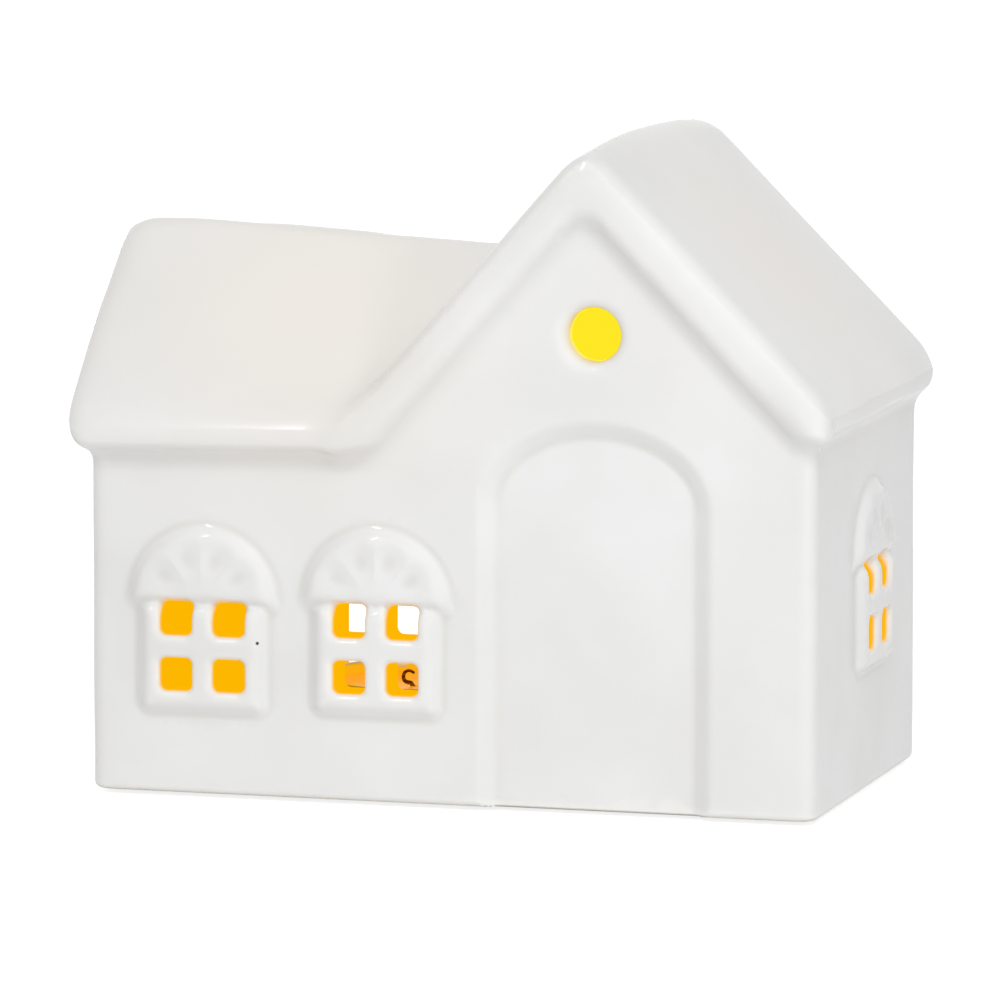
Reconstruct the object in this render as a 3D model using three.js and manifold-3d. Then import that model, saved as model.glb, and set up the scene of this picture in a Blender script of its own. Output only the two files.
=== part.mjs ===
// House-shaped oil burner: a slip-cast glazed house with a long wing and a cross gable.
// A tea light slides in through the rear doorway, and a lift-out oil dish sits in the rear roof slope.
// Millimetres, +Z up, the front wall faces -Y. The origin is on the table under the middle of the house.
import * as THREE from "three";
import { mergeVertices } from "three/addons/utils/BufferGeometryUtils.js";
import Module from "manifold-3d";

const wasm = await Module();
wasm.setup();

// Walls and floor
const WALL_WIDTH = 141.4;
const WALL_DEPTH = 80;
const WALL_THICKNESS = 8;
const WALL_CORNER_RADIUS = 3;
const FLOOR_THICKNESS = 3.2;
const FOOT_ROUNDING = 1.2;

// Wing roof: ridge along X, in front of the middle to leave room for the oil dish behind it.
// The kiln let its ridge sag and its eaves lift towards the gable.
const WING_LENGTH = 70;
const WING_RIDGE_Y = -8;
const WING_RIDGE_HEIGHT = 106.9;
const WING_EAVE_HEIGHT = 72.9;
const WING_FRONT_EAVE_DROP = 1.2;
const WING_ROOF_THICKNESS = 6.2;
const WING_OVERHANG = 4.8;
const WING_RIDGE_SAG = 3.5;
const WING_EAVE_LIFT = 2;
const WING_RIDGE_RADIUS = 3;

// Gable roof: ridge along Y, with the left slope steeper than the right and the ridge bowed up in the middle
const GABLE_RIDGE_X = 26.6;
const GABLE_RIDGE_HEIGHT = 125.9;
const GABLE_EAVE_HEIGHT = 78;
const GABLE_LEFT_FOOT_X = -19;
const GABLE_ROOF_THICKNESS = 6;
const GABLE_OVERHANG = 4;
const GABLE_EAVE_OVERHANG = 3.2;
const GABLE_RIDGE_RADIUS = 5;
const GABLE_RIDGE_CROWN = 1.8;
const ROOF_EDGE_RADIUS = 2.6;
const ROOF_END_ROUNDING = 2.4;

// Window castings: a four-light frame under a wider round hood with fan-light dimples
const FRAME_WIDTH = 25;
const FRAME_HEIGHT = 20.8;
const HOOD_RADIUS = 14.4;
const RELIEF_HEIGHT = 2;
const RELIEF_ROUNDING = 0.9;
const FRAME_CORNER_RADIUS = 2;
const PANE_WIDTH = 6.4;
const PANE_HEIGHT = 6.4;
const PANE_RADIUS = 1.2;
const PANE_COLUMN_PITCH = 10.4;
const PANE_ROW_PITCH = 10.6;
const LOWER_PANE_HEIGHT = 7;
const DIMPLE_COUNT = 4;
const DIMPLE_RING_RADIUS = 8.4;
const DIMPLE_STEP = THREE.MathUtils.degToRad(37);
const DIMPLE_LENGTH = 4.6;
const DIMPLE_WIDTH = 3;
const DIMPLE_DEPTH = 1.2;
const FRONT_WINDOW_X = [-48, -14];
const FRONT_WINDOW_HEIGHT = 16.3;
const SIDE_WINDOW_Y = 3;
const SIDE_WINDOW_HEIGHT = 23.3;

// Blind arched door and round gable light in the front wall
const DOOR_X = 28.2;
const DOOR_WIDTH = 41.5;
const DOOR_SPRING_HEIGHT = 57.5;
const DOOR_RISE = 14;
const DOOR_RECESS = 2;
const GABLE_LIGHT_HEIGHT = 89.3;
const GABLE_LIGHT_RADIUS = 5.5;

// Tea light, and the rear doorway that it slides through
const TEALIGHT_X = -20.4;
const TEALIGHT_Y = 8;
const CUP_RADIUS = 19;
const CUP_HEIGHT = 13.6;
const CUP_WALL = 0.4;
const CUP_RIM_ROLL = 0.5;
const WAX_DEPTH = 10.5;
const WAX_POOL_DEPTH = 0.8;
const WAX_LIP = 3.2;
const TAB_RADIUS = 8;
const TAB_THICKNESS = 0.4;
const TAB_NECK_RADIUS = 1.7;
const TAB_NECK_HEIGHT = 4;
const WICK_RADIUS = 0.8;
const WICK_RISE = 4;
const WICK_LEAN = 2.8;
const DOORWAY_FINGER_ROOM = 4;
const DOORWAY_SPRING_HEIGHT = 40;
const DOORWAY_RISE = 12;
const SEAT_GAP = 0.3;
const TEALIGHT_FIT = 0.2;

// Oil dish, and the socket that holds it in the rear slope of the wing roof
const DISH_X = -34;
const DISH_STRAIGHT = 8;
const DISH_FLANGE_RADIUS = 20.6;
const DISH_BOWL_RADIUS = 18.2;
const DISH_WALL = 2.2;
const DISH_DROP = 12;
const DISH_RIM_RISE = 3.4;
const DISH_RIM_ROUNDING = 0.9;
const SOCKET_FIT = 0.6;
const SOCKET_WALL = 2.4;
const SOCKET_LIP = 1.5;
const SOCKET_SKIRT = 18;
const SOCKET_RIDGE_LAND = 4.6;

// Foot pads in shallow pockets under the floor
const PAD_RADIUS = 4.5;
const PAD_THICKNESS = 1.6;
const PAD_PROUD = 0.8;
const PAD_INSET = 10;
const PAD_FIT = 0.2;
const PAD_GLUE = 0.1;

// Facets of round work, and how far a cutter runs past what it cuts
const ARC_STEPS = 3;
const PANE_ARC_STEPS = 2;
const HOOD_ARC_STEPS = 8;
const ROUND_STEPS = 12;
const BEVEL_STEPS = 3;
const RELIEF_BEVEL_STEPS = 2;
const CROWN_STEPS = 6;
const TURNED_STEPS = 48;
const WICK_SIDES = 5;
const WICK_STEPS = 14;
const CUT_PAST = 2;

// Places worked out from the sizes above, with heights counted from the underside of the house
const halfWidth = WALL_WIDTH / 2;
const halfDepth = WALL_DEPTH / 2;
const wingReach = halfDepth + WING_OVERHANG;
const wingEndX = -halfWidth - WING_OVERHANG;
const gableReach = halfDepth + GABLE_OVERHANG;
const gableEaveX = halfWidth + GABLE_EAVE_OVERHANG;
const skyHeight = GABLE_RIDGE_HEIGHT + GABLE_RIDGE_CROWN + 2 * CUT_PAST;
const socketRadius = DISH_FLANGE_RADIUS + SOCKET_FIT;
const dishY = WING_RIDGE_Y + SOCKET_RIDGE_LAND + socketRadius;

// Two roof slopes that meet at a ridge, in section: u is across the ridge and v is height.
// below() gives the same two slopes a thickness further in, where their ridge has moved sideways too.
class FoldedRoof {
  constructor(ridge, left, right) {
    this.ridge = ridge;
    this.left = left;
    this.right = right;
    this.fallLeft = (ridge.v - left.v) / (ridge.u - left.u);
    this.fallRight = (ridge.v - right.v) / (right.u - ridge.u);
  }

  at(u) {
    return this.ridge.v - (u < this.ridge.u ? this.fallLeft : this.fallRight) * Math.abs(u - this.ridge.u);
  }

  leftAt(v) {
    return this.ridge.u - (this.ridge.v - v) / this.fallLeft;
  }

  below(thickness) {
    const dropLeft = thickness * Math.hypot(1, this.fallLeft);
    const dropRight = thickness * Math.hypot(1, this.fallRight);
    const shift = (dropLeft - dropRight) / (this.fallLeft + this.fallRight);
    return new FoldedRoof(
      { u: this.ridge.u + shift, v: this.ridge.v - dropRight - this.fallRight * shift },
      { u: this.left.u, v: this.left.v - dropLeft },
      { u: this.right.u, v: this.right.v - dropRight },
    );
  }
}

const wingRoofTop = new FoldedRoof(
  { u: WING_RIDGE_Y, v: WING_RIDGE_HEIGHT },
  { u: -wingReach, v: WING_EAVE_HEIGHT - WING_FRONT_EAVE_DROP },
  { u: wingReach, v: WING_EAVE_HEIGHT },
);

// How much the fired roof of the wing stands above its straight shape at a point.
// It is nothing at the end wall, and grows along the wing to the sag and the lift where the gable begins.
function wingLift(x, y) {
  const along = (x + halfWidth) / WING_LENGTH;
  const reach = y < WING_RIDGE_Y ? wingReach + WING_RIDGE_Y : wingReach - WING_RIDGE_Y;
  const across = Math.abs(y - WING_RIDGE_Y) / reach;
  return along * (-WING_RIDGE_SAG + (WING_RIDGE_SAG + WING_EAVE_LIFT) * across);
}

const gableRoofTop = new FoldedRoof(
  { u: GABLE_RIDGE_X, v: GABLE_RIDGE_HEIGHT },
  { u: GABLE_LEFT_FOOT_X, v: WING_EAVE_HEIGHT + wingLift(GABLE_LEFT_FOOT_X, wingReach) },
  { u: gableEaveX, v: GABLE_EAVE_HEIGHT },
);

const ledgeHeight = wingRoofTop.at(dishY) + wingLift(DISH_X, dishY);

// Solids and meshes

// A closed three.js geometry as a solid that can be joined and cut
function solid(geometry) {
  const bare = new THREE.BufferGeometry().setAttribute("position", geometry.getAttribute("position"));
  bare.setIndex(geometry.index);
  const merged = mergeVertices(bare, 1e-4);
  const mesh = new wasm.Mesh({
    numProp: 3,
    vertProperties: merged.getAttribute("position").array,
    triVerts: new Uint32Array(merged.index.array),
  });
  return new wasm.Manifold(mesh);
}

// A solid as a three.js geometry
function geometryOf(body) {
  const mesh = body.getMesh();
  const geometry = new THREE.BufferGeometry();
  geometry.setAttribute("position", new THREE.BufferAttribute(mesh.vertProperties, mesh.numProp));
  geometry.setIndex(new THREE.BufferAttribute(mesh.triVerts, 1));
  geometry.computeVertexNormals();
  return geometry;
}

const joined = (solids) => solids.reduce((whole, next) => whole.add(next));

// Outlines

// A closed anticlockwise outline through corners [u, v, radius], each rounded by its own radius
function roundedOutline(corners) {
  const shape = new THREE.Shape();
  corners.forEach(([u, v, radius = 0], i) => {
    const corner = new THREE.Vector2(u, v);
    const [back, ahead] = [corners.at(i - 1), corners[(i + 1) % corners.length]].map(([a, b]) =>
      new THREE.Vector2(a, b).sub(corner).normalize(),
    );
    if (radius === 0) {
      if (i === 0) shape.moveTo(u, v);
      else shape.lineTo(u, v);
      return;
    }
    const half = Math.acos(back.dot(ahead)) / 2;
    const centre = back.clone().add(ahead).setLength(radius / Math.sin(half)).add(corner);
    const from = Math.atan2(back.x, -back.y);
    const to = Math.atan2(-ahead.x, ahead.y);
    shape.absarc(centre.x, centre.y, radius, from, to, false);
  });
  shape.closePath();
  return shape;
}

// A rectangle centred on a point, with rounded corners
function roundedRectangle(width, height, radius, u = 0, v = 0) {
  const [w, h] = [width / 2, height / 2];
  return roundedOutline([
    [u - w, v - h, radius],
    [u + w, v - h, radius],
    [u + w, v + h, radius],
    [u - w, v + h, radius],
  ]);
}

// An opening with straight sides and a low elliptical arch
function archOutline(centre, width, bottom, spring, rise) {
  const half = width / 2;
  const shape = new THREE.Shape();
  shape.moveTo(centre - half, bottom);
  shape.lineTo(centre + half, bottom);
  shape.lineTo(centre + half, spring);
  shape.absellipse(centre, spring, half, rise, 0, Math.PI, false);
  shape.closePath();
  return shape;
}

// A slot outline with round ends: a straight stretch along X between two half circles
function slotOutline(x, y, straight, radius) {
  const shape = new THREE.Shape();
  shape.absarc(x + straight / 2, y, radius, -Math.PI / 2, Math.PI / 2, false);
  shape.absarc(x - straight / 2, y, radius, Math.PI / 2, (3 * Math.PI) / 2, false);
  shape.closePath();
  return shape;
}

// Prisms

// An outline carried along local Z, with its two ends rounded inside its own size.
// The facets of the prisms below are its last four values: rounding, arc, bevel and length steps.
function prism(shape, length, rounding = 0, arc = ARC_STEPS, bevel = BEVEL_STEPS, steps = 1) {
  const geometry = new THREE.ExtrudeGeometry(shape, {
    depth: length - 2 * rounding,
    steps,
    curveSegments: arc,
    bevelEnabled: rounding > 0,
    bevelThickness: rounding,
    bevelSize: rounding,
    bevelOffset: -rounding,
    bevelSegments: bevel,
  });
  return geometry.translate(0, 0, rounding);
}

const AXIS_X = new THREE.Vector3(1, 0, 0);
const AXIS_Y = new THREE.Vector3(0, 1, 0);
const AXIS_Z = new THREE.Vector3(0, 0, 1);

// A prism along X of a (y, z) outline
function prismX(shape, from, to, ...facets) {
  const turn = new THREE.Matrix4().makeBasis(AXIS_Y, AXIS_Z, AXIS_X);
  return prism(shape, to - from, ...facets).applyMatrix4(turn).translate(from, 0, 0);
}

// A prism along Y of an (x, z) outline
function prismY(shape, from, to, ...facets) {
  const turn = new THREE.Matrix4().makeBasis(AXIS_X, AXIS_Z, AXIS_Y.clone().negate());
  return prism(shape, to - from, ...facets).applyMatrix4(turn).translate(0, to, 0);
}

// A prism along Z of an (x, y) outline
function prismZ(shape, from, to, ...facets) {
  return prism(shape, to - from, ...facets).translate(0, 0, from);
}

// A turned shape about Z from a profile of [radius, height]
function turned(profile, steps = TURNED_STEPS) {
  const points = profile.map(([radius, height]) => new THREE.Vector2(radius, height));
  return new THREE.LatheGeometry(points, steps).rotateX(Math.PI / 2);
}

// Moves the roof corners of a wing prism to where the kiln left them
function sagged(geometry) {
  const place = geometry.getAttribute("position");
  const wallTop = WING_EAVE_HEIGHT - 3 * WING_ROOF_THICKNESS;
  for (let i = 0; i < place.count; i += 1) {
    const [x, y, z] = [place.getX(i), place.getY(i), place.getZ(i)];
    if (z > wallTop) place.setZ(i, z + wingLift(x, y));
  }
  return geometry;
}

// Bows up the ridge of a gable prism, by nothing at its ends and at its eaves
function crowned(geometry) {
  const place = geometry.getAttribute("position");
  for (let i = 0; i < place.count; i += 1) {
    const [y, z] = [place.getY(i), place.getZ(i)];
    const along = 1 - (y / gableReach) ** 2;
    const up = (z - GABLE_EAVE_HEIGHT) / (GABLE_RIDGE_HEIGHT - GABLE_EAVE_HEIGHT);
    place.setZ(i, z + GABLE_RIDGE_CROWN * along * Math.max(up, 0));
  }
  return geometry;
}

// House shell

// Cross-section of the wing below a roof line, between two walls
function wingSection(roof, halfSpan, bottom) {
  return roundedOutline([
    [-halfSpan, bottom],
    [halfSpan, bottom],
    [halfSpan, roof.at(halfSpan)],
    [roof.ridge.u, roof.ridge.v],
    [-halfSpan, roof.at(-halfSpan)],
  ]);
}

// Cross-section of the gable block below a roof line, from its right wall to the wing's eave
function gableSection(roof, rightX, bottom) {
  const footHeight = WING_EAVE_HEIGHT - WING_ROOF_THICKNESS;
  return roundedOutline([
    [roof.leftAt(footHeight), bottom],
    [rightX, bottom],
    [rightX, roof.at(rightX)],
    [roof.ridge.u, roof.ridge.v],
    [roof.leftAt(footHeight), footHeight],
  ]);
}

// A roof slab in section: two slopes of one thickness with soft eaves and a soft ridge
function roofSlab(top, thickness, ridgeRadius) {
  const under = top.below(thickness);
  return roundedOutline([
    [under.left.u, under.left.v, ROOF_EDGE_RADIUS],
    [under.ridge.u, under.ridge.v],
    [under.right.u, under.right.v, ROOF_EDGE_RADIUS],
    [top.right.u, top.right.v, ROOF_EDGE_RADIUS],
    [top.ridge.u, top.ridge.v, ridgeRadius],
    [top.left.u, top.left.v, ROOF_EDGE_RADIUS],
  ]);
}

// Everything below the middle of the gable's roof slab
function underGable() {
  const middle = gableRoofTop.below(GABLE_ROOF_THICKNESS / 2);
  const section = gableSection(middle, gableEaveX + CUT_PAST, -CUT_PAST);
  return solid(prismY(section, -wingReach - CUT_PAST, wingReach + CUT_PAST));
}

// Walls: a column with rounded corners, kept only where it is under the two roofs
function walls() {
  const footprint = roundedRectangle(WALL_WIDTH, WALL_DEPTH, WALL_CORNER_RADIUS);
  const column = solid(prismZ(footprint, 0, skyHeight, FOOT_ROUNDING));
  const section = wingSection(wingRoofTop.below(WING_ROOF_THICKNESS / 2), wingReach, -CUT_PAST);
  const underWing = solid(sagged(prismX(section, wingEndX, GABLE_RIDGE_X)));
  return column.intersect(underWing.add(underGable()));
}

// Wing roof: a soft-edged slab folded over the ridge, mitred where it runs into the gable's left slope
function wingRoof() {
  const slab = roofSlab(wingRoofTop, WING_ROOF_THICKNESS, WING_RIDGE_RADIUS);
  const whole = solid(sagged(prismX(slab, wingEndX, GABLE_RIDGE_X, ROOF_END_ROUNDING)));
  return whole.subtract(underGable());
}

// Gable roof: the same kind of slab over the cross gable, from the right eave to the wing's eave
function gableRoof() {
  const slab = roofSlab(gableRoofTop, GABLE_ROOF_THICKNESS, GABLE_RIDGE_RADIUS);
  const facets = [ROOF_END_ROUNDING, ARC_STEPS, BEVEL_STEPS, CROWN_STEPS];
  return solid(crowned(prismY(slab, -gableReach, gableReach, ...facets)));
}

// The room inside: the wing and the gable, each a wall inside its outside
function cavity() {
  const wing = wingSection(
    wingRoofTop.below(WING_ROOF_THICKNESS),
    halfDepth - WALL_THICKNESS,
    FLOOR_THICKNESS,
  );
  const gable = gableSection(
    gableRoofTop.below(GABLE_ROOF_THICKNESS),
    halfWidth - WALL_THICKNESS,
    FLOOR_THICKNESS,
  );
  const wingRoom = solid(sagged(prismX(wing, -halfWidth + WALL_THICKNESS, GABLE_RIDGE_X)));
  const gableRoom = solid(prismY(gable, -halfDepth + WALL_THICKNESS, halfDepth - WALL_THICKNESS));
  return wingRoom.add(gableRoom);
}

// Window castings, drawn on a wall facing -Y with the middle of the sill line at the origin

function windowRelief() {
  const half = FRAME_WIDTH / 2;
  const shape = new THREE.Shape();
  shape.moveTo(-half + FRAME_CORNER_RADIUS, 0);
  shape.lineTo(half - FRAME_CORNER_RADIUS, 0);
  shape.quadraticCurveTo(half, 0, half, FRAME_CORNER_RADIUS);
  shape.lineTo(half, FRAME_HEIGHT);
  shape.lineTo(HOOD_RADIUS, FRAME_HEIGHT);
  shape.absarc(0, FRAME_HEIGHT, HOOD_RADIUS, 0, Math.PI, false);
  shape.lineTo(-half, FRAME_HEIGHT);
  shape.lineTo(-half, FRAME_CORNER_RADIUS);
  shape.quadraticCurveTo(-half, 0, -half + FRAME_CORNER_RADIUS, 0);
  const facets = [RELIEF_ROUNDING, HOOD_ARC_STEPS, RELIEF_BEVEL_STEPS];
  return prismY(shape, -RELIEF_HEIGHT, WALL_THICKNESS / 2, ...facets);
}

function windowPanes() {
  const columns = [-PANE_COLUMN_PITCH / 2, PANE_COLUMN_PITCH / 2];
  const rows = [LOWER_PANE_HEIGHT, LOWER_PANE_HEIGHT + PANE_ROW_PITCH];
  return columns.flatMap((x) =>
    rows.map((z) => {
      const pane = roundedRectangle(PANE_WIDTH, PANE_HEIGHT, PANE_RADIUS, x, z);
      return prismY(pane, -RELIEF_HEIGHT - CUT_PAST, WALL_THICKNESS + CUT_PAST, 0, PANE_ARC_STEPS);
    }),
  );
}

function fanDimples() {
  const ring = Array.from({ length: DIMPLE_COUNT }, (_, i) => (i - (DIMPLE_COUNT - 1) / 2) * DIMPLE_STEP);
  return ring.map((lean) => {
    const petal = new THREE.Shape();
    const [x, z] = [Math.sin(lean) * DIMPLE_RING_RADIUS, Math.cos(lean) * DIMPLE_RING_RADIUS];
    petal.absellipse(x, FRAME_HEIGHT + z, DIMPLE_WIDTH / 2, DIMPLE_LENGTH / 2, 0, 2 * Math.PI, false, -lean);
    return prismY(petal, -RELIEF_HEIGHT - CUT_PAST, -RELIEF_HEIGHT + DIMPLE_DEPTH, 0, 2 * ARC_STEPS);
  });
}

// Where each window stands: two in the front wall of the wing, one in the right wall of the gable
function windowPlaces() {
  const front = FRONT_WINDOW_X.map((x) =>
    new THREE.Matrix4().makeTranslation(x, -halfDepth, FRONT_WINDOW_HEIGHT),
  );
  const side = new THREE.Matrix4()
    .makeTranslation(halfWidth, SIDE_WINDOW_Y, SIDE_WINDOW_HEIGHT)
    .multiply(new THREE.Matrix4().makeRotationZ(Math.PI / 2));
  return [...front, side];
}

function placedAtWindows(makeGeometries) {
  return windowPlaces().flatMap((place) =>
    makeGeometries().map((geometry) => solid(geometry.applyMatrix4(place))),
  );
}

// Cuts in the walls

function doorRecess() {
  const arch = archOutline(DOOR_X, DOOR_WIDTH, -CUT_PAST, DOOR_SPRING_HEIGHT, DOOR_RISE);
  return solid(prismY(arch, -halfDepth - CUT_PAST, -halfDepth + DOOR_RECESS, 0, ROUND_STEPS));
}

function gableLight() {
  const circle = new THREE.Shape();
  circle.absarc(DOOR_X, GABLE_LIGHT_HEIGHT, GABLE_LIGHT_RADIUS, 0, 2 * Math.PI, false);
  const inside = -halfDepth + WALL_THICKNESS;
  return solid(prismY(circle, -halfDepth - CUT_PAST, inside + CUT_PAST, 0, ROUND_STEPS));
}

function rearDoorway() {
  const width = 2 * (CUP_RADIUS + DOORWAY_FINGER_ROOM);
  const arch = archOutline(TEALIGHT_X, width, FLOOR_THICKNESS, DOORWAY_SPRING_HEIGHT, DOORWAY_RISE);
  return solid(prismY(arch, halfDepth - WALL_THICKNESS - CUT_PAST, halfDepth + CUT_PAST, 0, ROUND_STEPS));
}

// Dish socket: a slot-shaped collar through the rear slope, with a ledge for the dish's flange

function socketColumn() {
  const outline = slotOutline(DISH_X, dishY, DISH_STRAIGHT, socketRadius + SOCKET_WALL);
  return solid(prismZ(outline, ledgeHeight - SOCKET_SKIRT, ledgeHeight + SOCKET_LIP, 0, ROUND_STEPS));
}

function socketBore() {
  const bowl = slotOutline(DISH_X, dishY, DISH_STRAIGHT, DISH_BOWL_RADIUS + SOCKET_FIT);
  const flange = slotOutline(DISH_X, dishY, DISH_STRAIGHT, socketRadius);
  const throat = solid(prismZ(bowl, ledgeHeight - SOCKET_SKIRT - CUT_PAST, skyHeight, 0, ROUND_STEPS));
  const recess = solid(prismZ(flange, ledgeHeight, skyHeight, 0, ROUND_STEPS));
  return throat.add(recess);
}

// Foot pad places, one near each corner of the floor
const padPlaces = [
  ["foot_pad_front_left", -1, -1],
  ["foot_pad_front_right", 1, -1],
  ["foot_pad_rear_left", -1, 1],
  ["foot_pad_rear_right", 1, 1],
].map(([name, sideX, sideY]) => ({
  name,
  x: sideX * (halfWidth - PAD_INSET),
  y: sideY * (halfDepth - PAD_INSET),
}));

function padPockets() {
  const depth = PAD_THICKNESS - PAD_PROUD + PAD_GLUE;
  return padPlaces.map(({ x, y }) => {
    const circle = new THREE.Shape();
    circle.absarc(x, y, PAD_RADIUS + PAD_FIT, 0, 2 * Math.PI, false);
    return solid(prismZ(circle, -CUT_PAST, depth, 0, ROUND_STEPS));
  });
}

function houseBody() {
  const outside = joined([walls(), wingRoof(), gableRoof(), ...placedAtWindows(() => [windowRelief()])]);
  const shell = outside.subtract(cavity()).add(socketColumn());
  const cuts = [
    socketBore(),
    doorRecess(),
    gableLight(),
    rearDoorway(),
    ...placedAtWindows(windowPanes),
    ...placedAtWindows(fanDimples),
    ...padPockets(),
  ];
  return geometryOf(shell.subtract(joined(cuts)));
}

// Oil dish: a turned profile pulled apart along X by its straight stretch, with its ledge height at zero

function oilDish() {
  const bowl = DISH_BOWL_RADIUS;
  const inner = bowl - DISH_WALL;
  const flange = DISH_FLANGE_RADIUS;
  const bottom = -DISH_DROP;
  const top = DISH_RIM_RISE;
  const profile = [
    [0, bottom],
    [bowl * 0.6, bottom],
    [bowl * 0.86, bottom + DISH_DROP * 0.15],
    [bowl * 0.97, bottom + DISH_DROP * 0.45],
    [bowl, -DISH_RIM_ROUNDING],
    [bowl, 0],
    [flange - DISH_RIM_ROUNDING, 0],
    [flange, DISH_RIM_ROUNDING],
    [flange, top - DISH_RIM_ROUNDING],
    [flange - DISH_RIM_ROUNDING, top],
    [inner + DISH_RIM_ROUNDING, top],
    [inner, top - DISH_RIM_ROUNDING],
    [inner * 0.96, bottom + DISH_WALL + DISH_DROP * 0.4],
    [inner * 0.82, bottom + DISH_WALL + DISH_DROP * 0.12],
    [inner * 0.55, bottom + DISH_WALL],
    [0, bottom + DISH_WALL],
  ];
  const geometry = turned(profile);
  const place = geometry.getAttribute("position");
  for (let i = 0; i < place.count; i += 1) {
    const x = place.getX(i);
    if (Math.abs(x) > 1e-6) place.setX(i, x + (Math.sign(x) * DISH_STRAIGHT) / 2);
  }
  return geometryOf(solid(geometry));
}

// Tea light, with the underside of its cup at zero

const tabTop = CUP_WALL + TEALIGHT_FIT + TAB_THICKNESS;
const waxBottom = CUP_WALL + TEALIGHT_FIT;
const waxTop = waxBottom + WAX_DEPTH;

function tealightCup() {
  const inside = CUP_RADIUS - CUP_WALL;
  return turned([
    [0, 0],
    [CUP_RADIUS - CUP_WALL, 0],
    [CUP_RADIUS, CUP_WALL],
    [CUP_RADIUS, CUP_HEIGHT - 2 * CUP_RIM_ROLL],
    [CUP_RADIUS + CUP_RIM_ROLL, CUP_HEIGHT - CUP_RIM_ROLL],
    [CUP_RADIUS, CUP_HEIGHT],
    [inside, CUP_HEIGHT],
    [inside, CUP_WALL],
    [0, CUP_WALL],
  ]);
}

function tealightWax() {
  const outside = CUP_RADIUS - CUP_WALL - TEALIGHT_FIT;
  const tabRoom = TAB_RADIUS + TEALIGHT_FIT;
  const neckRoom = TAB_NECK_RADIUS + TEALIGHT_FIT;
  const wickRoom = WICK_RADIUS + TEALIGHT_FIT;
  const neckTop = tabTop + TAB_NECK_HEIGHT + TEALIGHT_FIT;
  const tabRoof = tabTop + TEALIGHT_FIT;
  return turned([
    [tabRoom, waxBottom],
    [outside, waxBottom],
    [outside, waxTop],
    [outside - WAX_LIP / 2, waxTop],
    [outside - WAX_LIP, waxTop - WAX_POOL_DEPTH],
    [wickRoom, waxTop - WAX_POOL_DEPTH],
    [wickRoom, neckTop],
    [neckRoom, neckTop],
    [neckRoom, tabRoof],
    [tabRoom, tabRoof],
    [tabRoom, waxBottom],
  ]);
}

function wickTab() {
  const bore = WICK_RADIUS + TEALIGHT_FIT;
  const bottom = CUP_WALL + TEALIGHT_FIT;
  return turned([
    [bore, bottom],
    [TAB_RADIUS, bottom],
    [TAB_RADIUS, tabTop],
    [TAB_NECK_RADIUS, tabTop],
    [TAB_NECK_RADIUS, tabTop + TAB_NECK_HEIGHT],
    [bore, tabTop + TAB_NECK_HEIGHT],
    [bore, bottom],
  ]);
}

// The wick stands straight in the wax, then leans over where it has burnt
function wick() {
  const surface = waxTop - WAX_POOL_DEPTH;
  const path = new THREE.CatmullRomCurve3([
    new THREE.Vector3(0, 0, CUP_WALL + TEALIGHT_FIT),
    new THREE.Vector3(0, 0, surface / 2),
    new THREE.Vector3(0, 0, surface),
    new THREE.Vector3(-WICK_LEAN * 0.15, 0, surface + WICK_RISE * 0.45),
    new THREE.Vector3(-WICK_LEAN * 0.6, 0, surface + WICK_RISE * 0.85),
    new THREE.Vector3(-WICK_LEAN, 0, surface + WICK_RISE),
  ]);
  const section = new THREE.Shape();
  section.absarc(0, 0, WICK_RADIUS, 0, 2 * Math.PI, false);
  return new THREE.ExtrudeGeometry(section, {
    extrudePath: path,
    steps: WICK_STEPS,
    curveSegments: WICK_SIDES,
    bevelEnabled: false,
  });
}

function footPad() {
  const circle = new THREE.Shape();
  circle.absarc(0, 0, PAD_RADIUS, 0, 2 * Math.PI, false);
  return prismZ(circle, 0, PAD_THICKNESS, 0, ROUND_STEPS);
}

// Finishes

const whiteGlaze = new THREE.MeshStandardMaterial({ color: 0xf1f1ee, roughness: 0.18, metalness: 0 });
const aluminium = new THREE.MeshStandardMaterial({ color: 0xc9cbcd, roughness: 0.35, metalness: 1 });
const paraffin = new THREE.MeshStandardMaterial({ color: 0xf4ead2, roughness: 0.5, metalness: 0 });
const burntCotton = new THREE.MeshStandardMaterial({ color: 0x3a2414, roughness: 0.9, metalness: 0 });
const greyFelt = new THREE.MeshStandardMaterial({ color: 0x8d8b86, roughness: 0.95, metalness: 0 });

function piece(name, geometry, material) {
  const mesh = new THREE.Mesh(geometry, material);
  mesh.name = name;
  return mesh;
}

// Assembly

const tealight = new THREE.Group();
tealight.add(
  piece("tealight_cup", tealightCup(), aluminium),
  piece("tealight_wax", tealightWax(), paraffin),
  piece("wick_tab", wickTab(), aluminium),
  piece("wick", wick(), burntCotton),
);
tealight.position.set(TEALIGHT_X, TEALIGHT_Y, FLOOR_THICKNESS + SEAT_GAP);

const dish = piece("oil_dish", oilDish(), whiteGlaze);
dish.position.set(DISH_X, dishY, ledgeHeight + SEAT_GAP);

const pads = padPlaces.map(({ name, x, y }) => {
  const pad = piece(name, footPad(), greyFelt);
  pad.position.set(x, y, -PAD_PROUD);
  return pad;
});

// The house stands on its pads, so its underside is lifted off the table by what they stand proud.
// Its eaves reach further out at the wing's end than at the gable, so the walls stand off the middle.
const house = new THREE.Group();
house.add(piece("house_body", houseBody(), whiteGlaze), dish, tealight, ...pads);
house.position.set((WING_OVERHANG - GABLE_EAVE_OVERHANG) / 2, 0, PAD_PROUD);

const burner = new THREE.Group();
burner.add(house);

export default burner;
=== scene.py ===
"""Looks of a house-shaped oil burner: one glazed ceramic shell, a lift-out dish and a burning tea light."""
import logging
import math
from dataclasses import dataclass, field
from enum import Enum
from typing import Any

import bmesh
import bpy
import numpy as np
from mathutils import Matrix, Vector


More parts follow.
